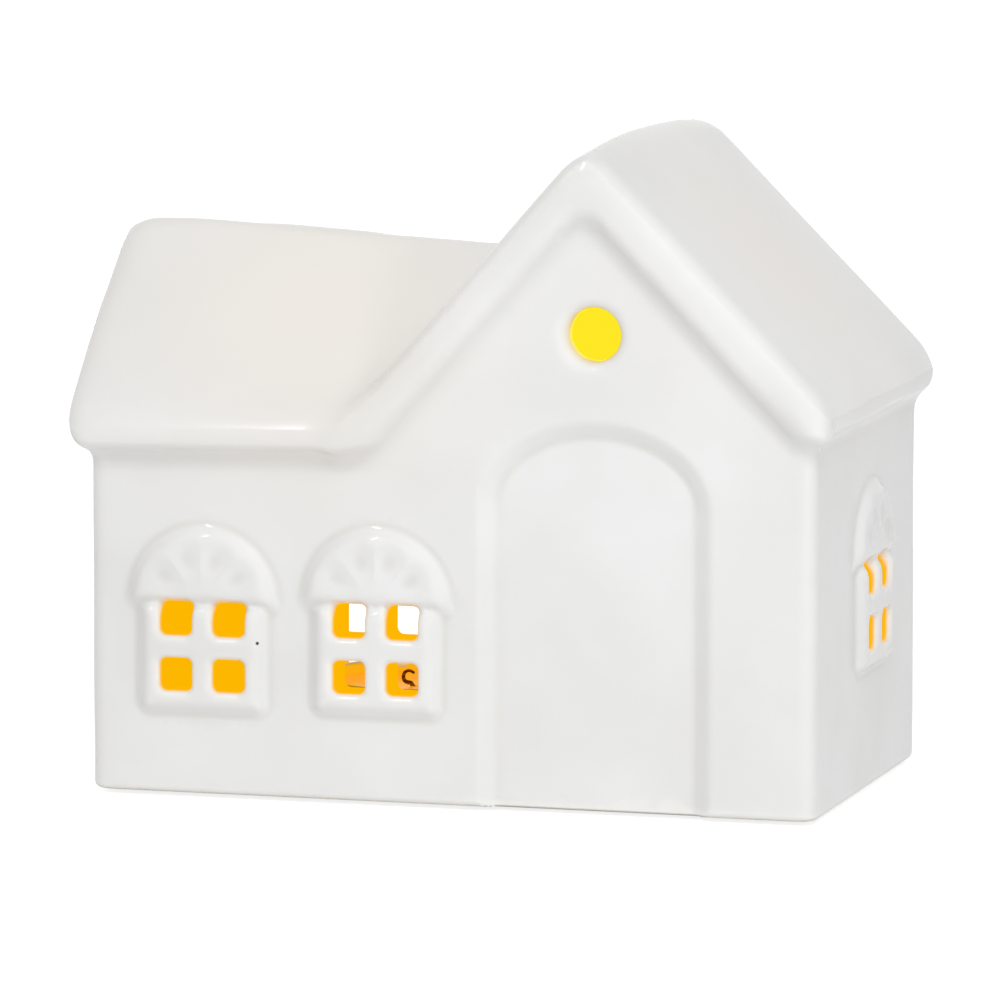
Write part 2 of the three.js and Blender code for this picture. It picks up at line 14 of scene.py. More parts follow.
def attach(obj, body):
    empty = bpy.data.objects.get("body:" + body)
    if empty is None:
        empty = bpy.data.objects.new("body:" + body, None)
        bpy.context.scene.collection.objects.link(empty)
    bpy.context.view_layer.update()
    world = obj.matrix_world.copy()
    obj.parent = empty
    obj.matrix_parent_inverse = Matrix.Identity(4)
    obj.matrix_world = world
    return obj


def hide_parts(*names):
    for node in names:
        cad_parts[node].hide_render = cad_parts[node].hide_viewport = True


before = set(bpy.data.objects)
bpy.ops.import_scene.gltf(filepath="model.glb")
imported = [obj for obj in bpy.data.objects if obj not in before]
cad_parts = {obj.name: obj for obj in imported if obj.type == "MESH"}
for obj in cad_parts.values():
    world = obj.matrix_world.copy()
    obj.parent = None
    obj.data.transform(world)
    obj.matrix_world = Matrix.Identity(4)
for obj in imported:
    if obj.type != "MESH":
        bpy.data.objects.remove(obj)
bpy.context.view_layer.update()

LOG = logging.getLogger("oil_burner")
MM = 0.001
BLACK = (0.0, 0.0, 0.0, 1.0)
WHITE = (1.0, 1.0, 1.0, 1.0)
# Widths of blend that give a radius of one at a square edge, at a roof's edge and at its ridge
SQUARE_EDGE, ROOF_EDGE, RIDGE_EDGE = 1.17, 1.3, 1.6
Array = np.ndarray
Object = bpy.types.Object
Socket = bpy.types.NodeSocket
Tree = bpy.types.NodeTree


class Body(Enum):
    """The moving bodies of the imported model."""

    HOUSE = "house"
    DISH = "dish"
    TEALIGHT = "tealight"


class Slot(Enum):
    """The record's finishes, one named with each new piece."""

    HOUSE_GLAZE = "white_glaze"
    DISH_GLAZE = "dish_glaze"
    CUP = "cup_aluminium"
    WAX = "paraffin_wax"
    WICK = "wick_cotton"
    FELT = "grey_felt"


# Fields and meshes


def smooth_max(a: Array, b: Array, width: float) -> Array:
    """The larger of two fields, with the edge where they meet rounded.

    Within the width of the edge, the square of what is left of the width is added, over four widths.

    Args:
        a: First field in mm, negative inside.
        b: Second field in mm.
        width: How far apart the fields are where the rounding ends, about 1.17 radii of a square edge.

    Returns:
        The field of what lies inside both.
    """
    left = np.maximum(width - np.abs(a - b), 0.0)
    return np.maximum(a, b) + left * left / (4.0 * width)


def smooth_min(a: Array, b: Array, width: float) -> Array:
    """The field of two shapes joined, with a hollow fillet between them."""
    return -smooth_max(-a, -b, width)


def step_between(value: Array, start: float, end: float) -> Array:
    """Rises smoothly from 0 at start to 1 at end, as three squares less two cubes."""
    t = np.clip((value - start) / (end - start), 0.0, 1.0)
    return t * t * (3.0 - 2.0 * t)


def rounded_box(u: Array, v: Array, half_u: float, half_v: float, radius: float) -> Array:
    """The distance to a rectangle with rounded corners: that of a smaller one, less the radius.

    Args:
        u: Place across, from the middle.
        v: Place along, from the middle.
        half_u: Half width.
        half_v: Half height.
        radius: Corner radius.

    Returns:
        The distance in mm, negative inside.
    """
    across = np.abs(u) - half_u + radius
    along = np.abs(v) - half_v + radius
    outside = np.hypot(np.maximum(across, 0.0), np.maximum(along, 0.0))
    return outside + np.minimum(np.maximum(across, along), 0.0) - radius


def slot_distance(x: Array, y: Array, straight: float, radius: float) -> Array:
    """The distance to a slot: that to a line of the straight's length along X, less the radius."""
    return np.hypot(np.maximum(np.abs(x) - straight / 2.0, 0.0), y) - radius


def grid_line(*stretches: tuple[float, float]) -> Array:
    """Grid places along one axis, from stretches of even spacing.

    Args:
        stretches: Pairs of where a stretch begins and its spacing; the last pair only ends the line.

    Returns:
        The places in order.
    """
    parts = [
        np.linspace(begin, end, max(2, round((end - begin) / pitch) + 1))[:-1]
        for (begin, pitch), (end, _) in zip(stretches, stretches[1:])
    ]
    return np.concatenate([*parts, [stretches[-1][0]]])


def surface_net(axes: list[Array], values: Array) -> tuple[Array, Array]:
    """The surface where a field on a grid is zero, as quads.

    Each grid edge that the surface crosses gives a quad between the four cells around the edge. A cell's corner
    is the mean of the crossings on its edges, each placed where the field is zero between its two ends.

    Args:
        axes: The grid's places along X, Y and Z.
        values: The field at each grid point, negative inside.

    Returns:
        Corner points, and quads of corner numbers that turn anticlockwise seen from outside.
    """
    inside = values < 0.0
    cells = tuple(n - 1 for n in values.shape)
    rings, crossings = [], []
    for axis in range(3):
        low = tuple(slice(0, -1) if i == axis else slice(None) for i in range(3))
        high = tuple(slice(1, None) if i == axis else slice(None) for i in range(3))
        starts = np.nonzero(inside[low] != inside[high])
        ends = tuple(s + (i == axis) for i, s in enumerate(starts))
        share = values[starts] / (values[starts] - values[ends])
        point = np.stack([axes[i][starts[i]] for i in range(3)], axis=1)
        point[:, axis] += share * (axes[axis][ends[axis]] - axes[axis][starts[axis]])
        b, c = (axis + 1) % 3, (axis + 2) % 3
        around = []
        for step_b, step_c in ((-1, -1), (0, -1), (0, 0), (-1, 0)):
            cell = list(starts)
            cell[b] = starts[b] + step_b
            cell[c] = starts[c] + step_c
            around.append(np.ravel_multi_index(tuple(cell), cells))
        ring = np.stack(around, axis=1)
        leaves = inside[starts]
        rings.append(np.where(leaves[:, None], ring, ring[:, ::-1]))
        crossings.append(point)
    ring = np.concatenate(rings)
    point = np.repeat(np.concatenate(crossings), 4, axis=0)
    used, number = np.unique(ring.ravel(), return_inverse=True)
    count = np.bincount(number)
    corners = np.stack([np.bincount(number, weights=point[:, i]) / count for i in range(3)], axis=1)
    return corners, number.reshape(-1, 4)


def mesh_object(name: str, points: Array, faces: Array) -> Object:
    """Puts points in mm and faces of one size into a smooth mesh in metres, in the scene.

    Args:
        name: The piece's name.
        points: Corner points, shape (n, 3).
        faces: Corner numbers, shape (m, corners of a face).

    Returns:
        The new object, at the origin.
    """
    mesh = bpy.data.meshes.new(name)
    size = faces.shape[1]
    mesh.vertices.add(len(points))
    mesh.vertices.foreach_set("co", (points * MM).astype(np.float32).ravel())
    mesh.loops.add(faces.size)
    mesh.loops.foreach_set("vertex_index", faces.astype(np.int32).ravel())
    mesh.polygons.add(len(faces))
    mesh.polygons.foreach_set("loop_start", np.arange(0, faces.size, size, dtype=np.int32))
    mesh.polygons.foreach_set("use_smooth", np.ones(len(faces), dtype=bool))
    mesh.update(calc_edges=True)
    made = bpy.data.objects.new(name, mesh)
    bpy.context.scene.collection.objects.link(made)
    return made


def sheet_faces(rows: int, columns: int, closed: bool) -> Array:
    """Quads of a grid of points, numbered row by row.

    Args:
        rows: Number of rows of points.
        columns: Number of points in a row.
        closed: Whether the last point of a row joins its first.

    Returns:
        Corner numbers, shape (quads, 4).
    """
    i, j = np.meshgrid(np.arange(rows - 1), np.arange(columns if closed else columns - 1), indexing="ij")
    row, next_row = i.ravel() * columns, (i.ravel() + 1) * columns
    j, next_j = j.ravel(), (j.ravel() + 1) % columns
    return np.stack([row + j, row + next_j, next_row + next_j, next_row + j], axis=1)


def closed_object(name: str, surface: Array) -> Object:
    """A surface closed round its turn as an object, with its poles merged and its faces pointing outwards.

    Args:
        name: The piece's name.
        surface: Points of shape (profile, turn, 3) in mm.

    Returns:
        The new object.
    """
    made = mesh_object(name, surface.reshape(-1, 3), sheet_faces(*surface.shape[:2], True))
    work = bmesh.new()
    work.from_mesh(made.data)
    bmesh.ops.remove_doubles(work, verts=work.verts, dist=1e-7)
    bmesh.ops.recalc_face_normals(work, faces=work.faces)
    work.to_mesh(made.data)
    work.free()
    return made


def turned_object(name: str, x: Array, y: Array, radius: Array, height: Array, angle: Array) -> Object:
    """A profile turned about an upright axis.

    Each point is the axis plus the radius times the cosine and the sine of its angle, at its height.

    Args:
        name: The piece's name.
        x: Places of the axis in mm; this and the next three are spread over profile and turn.
        y: Places of the axis across.
        radius: Radii of the profile.
        height: Heights of the profile.
        angle: Angles round the turn.

    Returns:
        The new object.
    """
    sides = np.broadcast_arrays(x + radius * np.cos(angle), y + radius * np.sin(angle), height)
    return closed_object(name, np.stack(sides, axis=2))


def full_turn(steps: int) -> Array:
    """Angles of even steps round a whole turn."""
    return np.linspace(0.0, 2.0 * math.pi, steps, endpoint=False)


def points_of(mesh: bpy.types.Mesh) -> Array:
    """A mesh's corner points in mm, shape (n, 3)."""
    flat = np.empty(len(mesh.vertices) * 3, dtype=np.float32)
    mesh.vertices.foreach_get("co", flat)
    return flat.reshape(-1, 3).astype(float) / MM


def store(mesh: bpy.types.Mesh, name: str, value: Array) -> None:
    """Stores a value at each corner point under a name that materials read."""
    mesh.attributes.new(name, "FLOAT", "POINT").data.foreach_set("value", value.astype(np.float32))


def softened(profile: list[tuple[float, float]], rounds: int = 3) -> Array:
    """A profile with its inner corners cut by quarters again and again, which ends as a smooth curve.

    Args:
        profile: Points of radius and height in mm.
        rounds: How many times each corner is cut.

    Returns:
        The points of the curve, with the first and last as given.
    """
    line = np.array(profile, dtype=float)
    for _ in range(rounds):
        near = 0.75 * line[:-1] + 0.25 * line[1:]
        far = 0.25 * line[:-1] + 0.75 * line[1:]
        line = np.concatenate([line[:1], np.stack([near, far], axis=1).reshape(-1, 2), line[-1:]])
    return line


def settle(piece: Object, body: Body, slot: Slot, *nodes: str) -> None:
    """Makes a piece ride on its body, hides the CAD nodes it stands for, and reports it."""
    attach(piece, body.value)
    if nodes:
        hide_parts(*nodes)
    LOG.info("%s: %d faces on %s", piece.name, len(piece.data.polygons), body.value)


# Finishes


def linear(code: str) -> tuple[float, float, float, float]:
    """An sRGB hex colour as linear red, green, blue and full alpha."""
    parts = [int(code[i : i + 2], 16) / 255.0 for i in (1, 3, 5)]
    return (*[c / 12.92 if c <= 0.04045 else ((c + 0.055) / 1.055) ** 2.4 for c in parts], 1.0)


def per_mm(size: float) -> float:
    """The scale of a texture on Object coordinates whose features are this many mm across."""
    return 1.0 / (size * MM)


def add_node(tree: Tree, kind: str, inputs: dict[Any, Any], out: Any = 0, **settings: Any) -> Socket | None:
    """Adds a shader node, sets its properties, and fills its inputs with values or links.

    Args:
        tree: The material's or the world's node tree.
        kind: Blender's name of the node type, less the words that all shader nodes begin with.
        inputs: For each input's name or number, a value or the output that feeds it.
        out: The name or number of the output that is wanted.
        settings: Properties of the node.

    Returns:
        The wanted output, or None from a node that has no outputs.
    """
    made = tree.nodes.new("ShaderNode" + kind)
    for key, value in settings.items():
        setattr(made, key, value)
    for key, value in inputs.items():
        if isinstance(value, Socket):
            tree.links.new(value, made.inputs[key])
        else:
            made.inputs[key].default_value = value
    return made.outputs[out] if made.outputs else None


@dataclass(frozen=True)
class Finish:
    """What the finishes share: a name, and a material made of the nodes that paint adds."""

    name: str = "finish"

    def paint(self, tree: Tree, place: Socket) -> Socket:
        """Adds the finish's nodes, with Object coordinates from place, and gives the shader's output."""
        raise NotImplementedError

    def material(self) -> bpy.types.Material:
        """Builds the material.

        Returns:
            The new material, with its shader on its output.
        """
        made = bpy.data.materials.new(self.name)
        made.use_nodes = True
        tree = made.node_tree
        tree.nodes.clear()
        place = add_node(tree, "TexCoord", {}, "Object")
        add_node(tree, "OutputMaterial", {"Surface": self.paint(tree, place)})
        return made


@dataclass(frozen=True)
class WhiteGlaze(Finish):
    """Tin-white gloss glaze, dipped over slip-cast earthenware and fired.

    The eye gets a hard wet gloss over a soft white, a faint slow waviness in the reflections, a greyer white in
    hollows that is partly glaze gathered there and partly painted shade, a clearer one where it has run thin over
    edges, painted warm light on the roof slopes, and a rare iron speck. Inside the lit house the candle's light is
    painted on as glow.
    """

    name: str = "white_gloss_glaze_on_earthenware"
    white: str = "#F3F3F2"
    pooled_grey_and_shade: str = "#DCDAD2"
    thin: str = "#F6F5F1"
    painted_warm_light: str = "#F5F0E8"
    bisque: str = "#E4D9C8"
    speck: str = "#3A2A1C"
    roughness: float = 0.09
    bare_roughness: float = 0.85
    ior: float = 1.5
    cloud_mm: float = 38.0
    grit_mm: float = 0.9
    wave_mm: float = 16.0
    wave_height_mm: float = 0.05
    skin_mm: float = 2.6
    skin_height_mm: float = 0.004
    specks_mm: tuple[tuple[float, float, float, float], ...] = ()
    painted_warm_light_mm: tuple[tuple[float, float, float, float], ...] = ()
    lit: bool = False
    ember: str = "#FDB800"
    lemon: str = "#FFEA26"
    lit_clay: str = "#33220A"
    ember_height_mm: float = 66.0
    lemon_height_mm: float = 77.0
    seat_mm: tuple[float, float] = (73.7, 78.7)
    floor_mm: tuple[float, float] = (4.0, 10.0)
    floor_light: float = 0.62
    room_light: float = 0.97

    def paint(self, tree: Tree, place: Socket) -> Socket:
        """Adds the glaze's nodes.

        Args:
            tree: The material's nodes.
            place: Object coordinates.

        Returns:
            The shader's output.
        """
        hollow, edge, bare = (
            add_node(tree, "Attribute", {}, "Fac", attribute_name=name) for name in ("hollow", "edge", "bare")
        )
        cloud = add_node(tree, "TexNoise", {"Vector": place, "Scale": per_mm(self.cloud_mm), "Detail": 3.0}, "Fac")
        drift = add_node(tree, "MapRange", {0: cloud, 1: 0.35, 2: 0.7, 3: 0.0, 4: 0.35})
        colour = linear(self.white)
        # drift is random cloudiness; the hollow mark greys creases and grooves, partly glaze gathered there and
        # partly painted shade
        for share, tone in ((drift, self.pooled_grey_and_shade), (hollow, self.pooled_grey_and_shade), (edge, self.thin)):
            colour = add_node(tree, "Mix", {0: share, 6: colour, 7: linear(tone)}, 2, data_type="RGBA")
        # The warm spots are painted warm light on the roof slopes; the specks are iron in the glaze.
        spots = [(*spot, 0.0, "SMOOTHSTEP", self.painted_warm_light) for spot in self.painted_warm_light_mm]
        spots += [(*spot, 0.6, "LINEAR", self.speck) for spot in self.specks_mm]
        for x, y, z, reach, full, fall, tone in spots:
            middle = (x * MM, y * MM, z * MM)
            away = add_node(tree, "VectorMath", {0: place, 1: middle}, "Value", operation="DISTANCE")
            ends = {1: full * reach * MM, 2: reach * MM, 3: 1.0, 4: 0.0}
            near = add_node(tree, "MapRange", {0: away, **ends}, interpolation_type=fall)
            colour = add_node(tree, "Mix", {0: near, 6: colour, 7: linear(tone)}, 2, data_type="RGBA")
        grit = add_node(tree, "TexNoise", {"Vector": place, "Scale": per_mm(self.grit_mm), "Detail": 4.0}, "Fac")
        clay = add_node(tree, "Mix", {0: grit, 6: linear(self.bisque), 7: linear(self.pooled_grey_and_shade)}, 2, data_type="RGBA")
        colour = add_node(tree, "Mix", {0: bare, 6: colour, 7: clay}, 2, data_type="RGBA")
        gloss = add_node(tree, "MapRange", {0: cloud, 1: 0.3, 2: 0.7, 3: self.roughness, 4: self.roughness + 0.05})
        rough = add_node(tree, "Mix", {0: bare, 2: gloss, 3: self.bare_roughness}, data_type="FLOAT")
        feeds = {"Base Color": colour, "Roughness": rough, "IOR": self.ior}
        normal = {}
        for size, rise, detail in (
            (self.wave_mm, self.wave_height_mm, 1.0),
            (self.skin_mm, self.skin_height_mm, 2.0),
        ):
            grain = add_node(tree, "TexNoise", {"Vector": place, "Scale": per_mm(size), "Detail": detail}, "Fac")
            bump = {"Height": grain, "Distance": rise * MM, "Strength": 1.0, **normal}
            normal = {"Normal": add_node(tree, "Bump", bump)}
        if self.lit:
            feeds |= self._light_inside(tree, place, colour)
        return add_node(tree, "BsdfPrincipled", {**feeds, **normal})

    def _light_inside(self, tree: Tree, place: Socket, colour: Socket) -> dict[str, Socket]:
        """Paints candle light inside as glow: amber low, lemon in the loft, dimmed on the floor as painted shade.

        It ends part of the way up the wall of the dish's socket.

        Args:
            tree: The material's nodes.
            place: Object coordinates.
            colour: The glaze's colour so far.

        Returns:
            What feeds the shader's inputs.
        """
        glow, seat = (add_node(tree, "Attribute", {}, "Fac", attribute_name=name) for name in ("glow", "seat"))
        height = add_node(tree, "SeparateXYZ", {0: place}, "Z")
        low, high = self.seat_mm
        rise = {0: height, 1: low * MM, 2: high * MM}
        above = add_node(tree, "MapRange", rise, interpolation_type="SMOOTHSTEP")
        shut = add_node(tree, "Math", {0: seat, 1: above}, operation="MULTIPLY")
        glow = add_node(tree, "Mix", {0: shut, 2: glow, 3: 0.0}, data_type="FLOAT")
        up = add_node(tree, "MapRange", {0: height, 1: self.ember_height_mm * MM, 2: self.lemon_height_mm * MM})
        flame = add_node(tree, "Mix", {0: up, 6: linear(self.ember), 7: linear(self.lemon)}, 2, data_type="RGBA")
        low, high = self.floor_mm
        shade = {0: height, 1: low * MM, 2: high * MM, 3: self.floor_light, 4: self.room_light}
        return {
            "Base Color": add_node(tree, "Mix", {0: glow, 6: colour, 7: linear(self.lit_clay)}, 2, data_type="RGBA"),
            "Emission Color": add_node(tree, "Mix", {0: glow, 6: BLACK, 7: flame}, 2, data_type="RGBA"),
            "Emission Strength": add_node(tree, "MapRange", shade),
            "Specular IOR Level": add_node(tree, "MapRange", {0: glow, 3: 0.5, 4: 0.0}),
        }


@dataclass(frozen=True)
class PressedAluminium(Finish):
    """Thin aluminium sheet, pressed in a die: satin grey with faint draw lines, flame light painted on as amber glow.
    """

    name: str = "pressed_aluminium_sheet"
    metal: str = "#C9CBCD"
    dull: str = "#A9ABAE"
    lit: str = "#FDB010"
    dark_under_glow: str = "#2E1E08"
    roughness: float = 0.32
    line_mm: float = 0.7
    line_height_mm: float = 0.01
    stretch: tuple[float, float, float] = (0.12, 0.12, 1.0)
    light: float = 0.95

    def paint(self, tree: Tree, place: Socket) -> Socket:
        """Adds the metal's nodes.

        Args:
            tree: The material's nodes.
            place: Object coordinates.

        Returns:
            The shader's output.
        """
        drawn = add_node(tree, "VectorMath", {0: place, 1: self.stretch}, operation="MULTIPLY")
        lines = add_node(tree, "TexNoise", {"Vector": drawn, "Scale": per_mm(self.line_mm), "Detail": 2.0}, "Fac")
        colour = add_node(tree, "Mix", {0: lines, 6: linear(self.metal), 7: linear(self.dull)}, 2, data_type="RGBA")
        glow = add_node(tree, "Attribute", {}, "Fac", attribute_name="glow")
        satin = {0: lines, 1: 0.3, 2: 0.7, 3: self.roughness, 4: self.roughness + 0.14}
        # Where the glow mark is, the flame's light is painted on: amber glow over a dark base in place of bare metal.
        feeds = {
            "Base Color": add_node(tree, "Mix", {0: glow, 6: colour, 7: linear(self.dark_under_glow)}, 2, data_type="RGBA"),
            "Roughness": add_node(tree, "MapRange", satin),
            "Metallic": add_node(tree, "Math", {0: 1.0, 1: glow}, operation="SUBTRACT"),
            "Specular IOR Level": 0.1,
            "Emission Color": add_node(tree, "Mix", {0: glow, 6: BLACK, 7: linear(self.lit)}, 2, data_type="RGBA"),
            "Emission Strength": self.light,
            "Normal": add_node(
                tree, "Bump", {"Height": lines, "Distance": self.line_height_mm * MM, "Strength": 0.6}
            ),
        }
        return add_node(tree, "BsdfPrincipled", feeds)


@dataclass(frozen=True)
class ParaffinWax(Finish):
    """Poured paraffin wax round a burning wick: milky, glossy where melted, with the candle's amber light painted on.
    """

    name: str = "poured_paraffin_wax"
    # Painted candle light: both wax colours are amber from the flame, and the glow is a little brighter near the
    # wick.
    wax: str = "#C9922E"
    candle_lit_molten: str = "#A86E12"
    lit: str = "#FFAE08"
    wick_mm: tuple[float, float] = (0.0, 0.0)
    pool_mm: float = 15.0
    shore_mm: float = 4.0
    rim_mm: float = 19.0
    grain_mm: float = 3.0
    grain_height_mm: float = 0.04
    ior: float = 1.43

    def paint(self, tree: Tree, place: Socket) -> Socket:
        """Adds the wax's nodes.

        Args:
            tree: The material's nodes.
            place: Object coordinates.

        Returns:
            The shader's output.
        """
        flat = add_node(tree, "VectorMath", {0: place, 1: (1.0, 1.0, 0.0)}, operation="MULTIPLY")
        middle = (self.wick_mm[0] * MM, self.wick_mm[1] * MM, 0.0)
        away = add_node(tree, "VectorMath", {0: flat, 1: middle}, "Value", operation="DISTANCE")
        shore = {0: away, 1: (self.pool_mm - self.shore_mm) * MM, 2: self.pool_mm * MM, 3: 1.0, 4: 0.0}
        melt = add_node(tree, "MapRange", shore, interpolation_type="SMOOTHSTEP")
        grain = add_node(tree, "TexNoise", {"Vector": place, "Scale": per_mm(self.grain_mm), "Detail": 3.0}, "Fac")
        uneven = {"Height": grain, "Distance": self.grain_height_mm * MM, "Strength": 0.5}
        feeds = {
            "Base Color": add_node(
                tree, "Mix", {0: melt, 6: linear(self.wax), 7: linear(self.candle_lit_molten)}, 2, data_type="RGBA"
            ),
            "Roughness": add_node(tree, "Mix", {0: melt, 2: 0.5, 3: 0.25}, data_type="FLOAT"),
            "IOR": self.ior,
            "Specular IOR Level": 0.12,
            "Emission Color": linear(self.lit),
            "Emission Strength": add_node(
                tree, "MapRange", {0: away, 1: 0.0, 2: self.rim_mm * MM, 3: 0.55, 4: 0.5}
            ),
            "Normal": add_node(tree, "Bump", uneven),
        }
        return add_node(tree, "BsdfPrincipled", feeds)


@dataclass(frozen=True)
class BurntCotton(Finish):
    """Braided cotton wick, charred: dark brown with paler plaits where it is only singed."""

    name: str = "charred_cotton_braid"
    char: str = "#3A1C08"
    singed: str = "#8A4A10"
    plait_height_mm: float = 0.1

    def paint(self, tree: Tree, place: Socket) -> Socket:
        """Adds the wick's nodes, which read its own map.

        Args:
            tree: The material's nodes.
            place: Object coordinates, which the braid doesn't follow.

        Returns:
            The shader's output.
        """
        along = add_node(tree, "UVMap", {}, "UV", uv_map="braid")
        twist = {"Vector": along, "Scale": 1.0, "Distortion": 1.5, "Detail": 1.0}
        braid = add_node(tree, "TexWave", twist, "Fac", wave_type="BANDS", bands_direction="DIAGONAL")
        colour = add_node(tree, "Mix", {0: braid, 6: linear(self.char), 7: linear(self.singed)}, 2, data_type="RGBA")
        bump = add_node(
            tree, "Bump", {"Height": braid, "Distance": self.plait_height_mm * MM, "Strength": 0.8}
        )
        return add_node(tree, "BsdfPrincipled", {"Base Color": colour, "Roughness": 0.9, "Normal": bump})


@dataclass(frozen=True)
class CandleFlame(Finish):
    """A small steady candle flame: nearly white in its body, yellow at the tip and dim at its foot."""

    name: str = "candle_flame"
    core: str = "#FFF6D6"
    tip: str = "#FFC440"
    foot: str = "#C98A3A"
    foot_mm: float = 0.0
    top_mm: float = 1.0
    light: float = 1.15

    def paint(self, tree: Tree, place: Socket) -> Socket:
        """Adds the flame's nodes.

        Args:
            tree: The material's nodes.
            place: Object coordinates.

        Returns:
            The shader's output.
        """
        height = add_node(tree, "SeparateXYZ", {0: place}, "Z")
        span = self.top_mm - self.foot_mm
        colour = linear(self.foot)
        for begin, end, tone in ((0.0, 0.3, self.core), (0.6, 1.0, self.tip)):
            ends = {1: (self.foot_mm + begin * span) * MM, 2: (self.foot_mm + end * span) * MM}
            share = add_node(tree, "MapRange", {0: height, **ends})
            colour = add_node(tree, "Mix", {0: share, 6: colour, 7: linear(tone)}, 2, data_type="RGBA")
        feeds = {"Base Color": BLACK, "Roughness": 1.0, "Specular IOR Level": 0.0}
        return add_node(
            tree, "BsdfPrincipled", {**feeds, "Emission Color": colour, "Emission Strength": self.light}
        )


@dataclass(frozen=True)
class NeedleFelt(Finish):
    """Pressed grey wool felt: matt, mottled, with fibres that catch light at the rim."""

    name: str = "grey_needle_felt"
    wool: str = "#8D8B86"
    dark: str = "#6E6C68"
    fibre_mm: float = 0.5
    fibre_height_mm: float = 0.15

    def paint(self, tree: Tree, place: Socket) -> Socket:
        """Adds the felt's nodes.

        Args:
            tree: The material's nodes.
            place: Object coordinates.

        Returns:
            The shader's output.
        """
        wool = {"Vector": place, "Scale": per_mm(self.fibre_mm), "Detail": 5.0, "Roughness": 0.7}
        fibre = add_node(tree, "TexNoise", wool, "Fac")
        colour = add_node(tree, "Mix", {0: fibre, 6: linear(self.dark), 7: linear(self.wool)}, 2, data_type="RGBA")
        bump = add_node(
            tree, "Bump", {"Height": fibre, "Distance": self.fibre_height_mm * MM, "Strength": 0.8}
        )
        feeds = {"Base Color": colour, "Roughness": 0.95, "Sheen Weight": 0.3, "Normal": bump}
        return add_node(tree, "BsdfPrincipled", feeds)


# The house


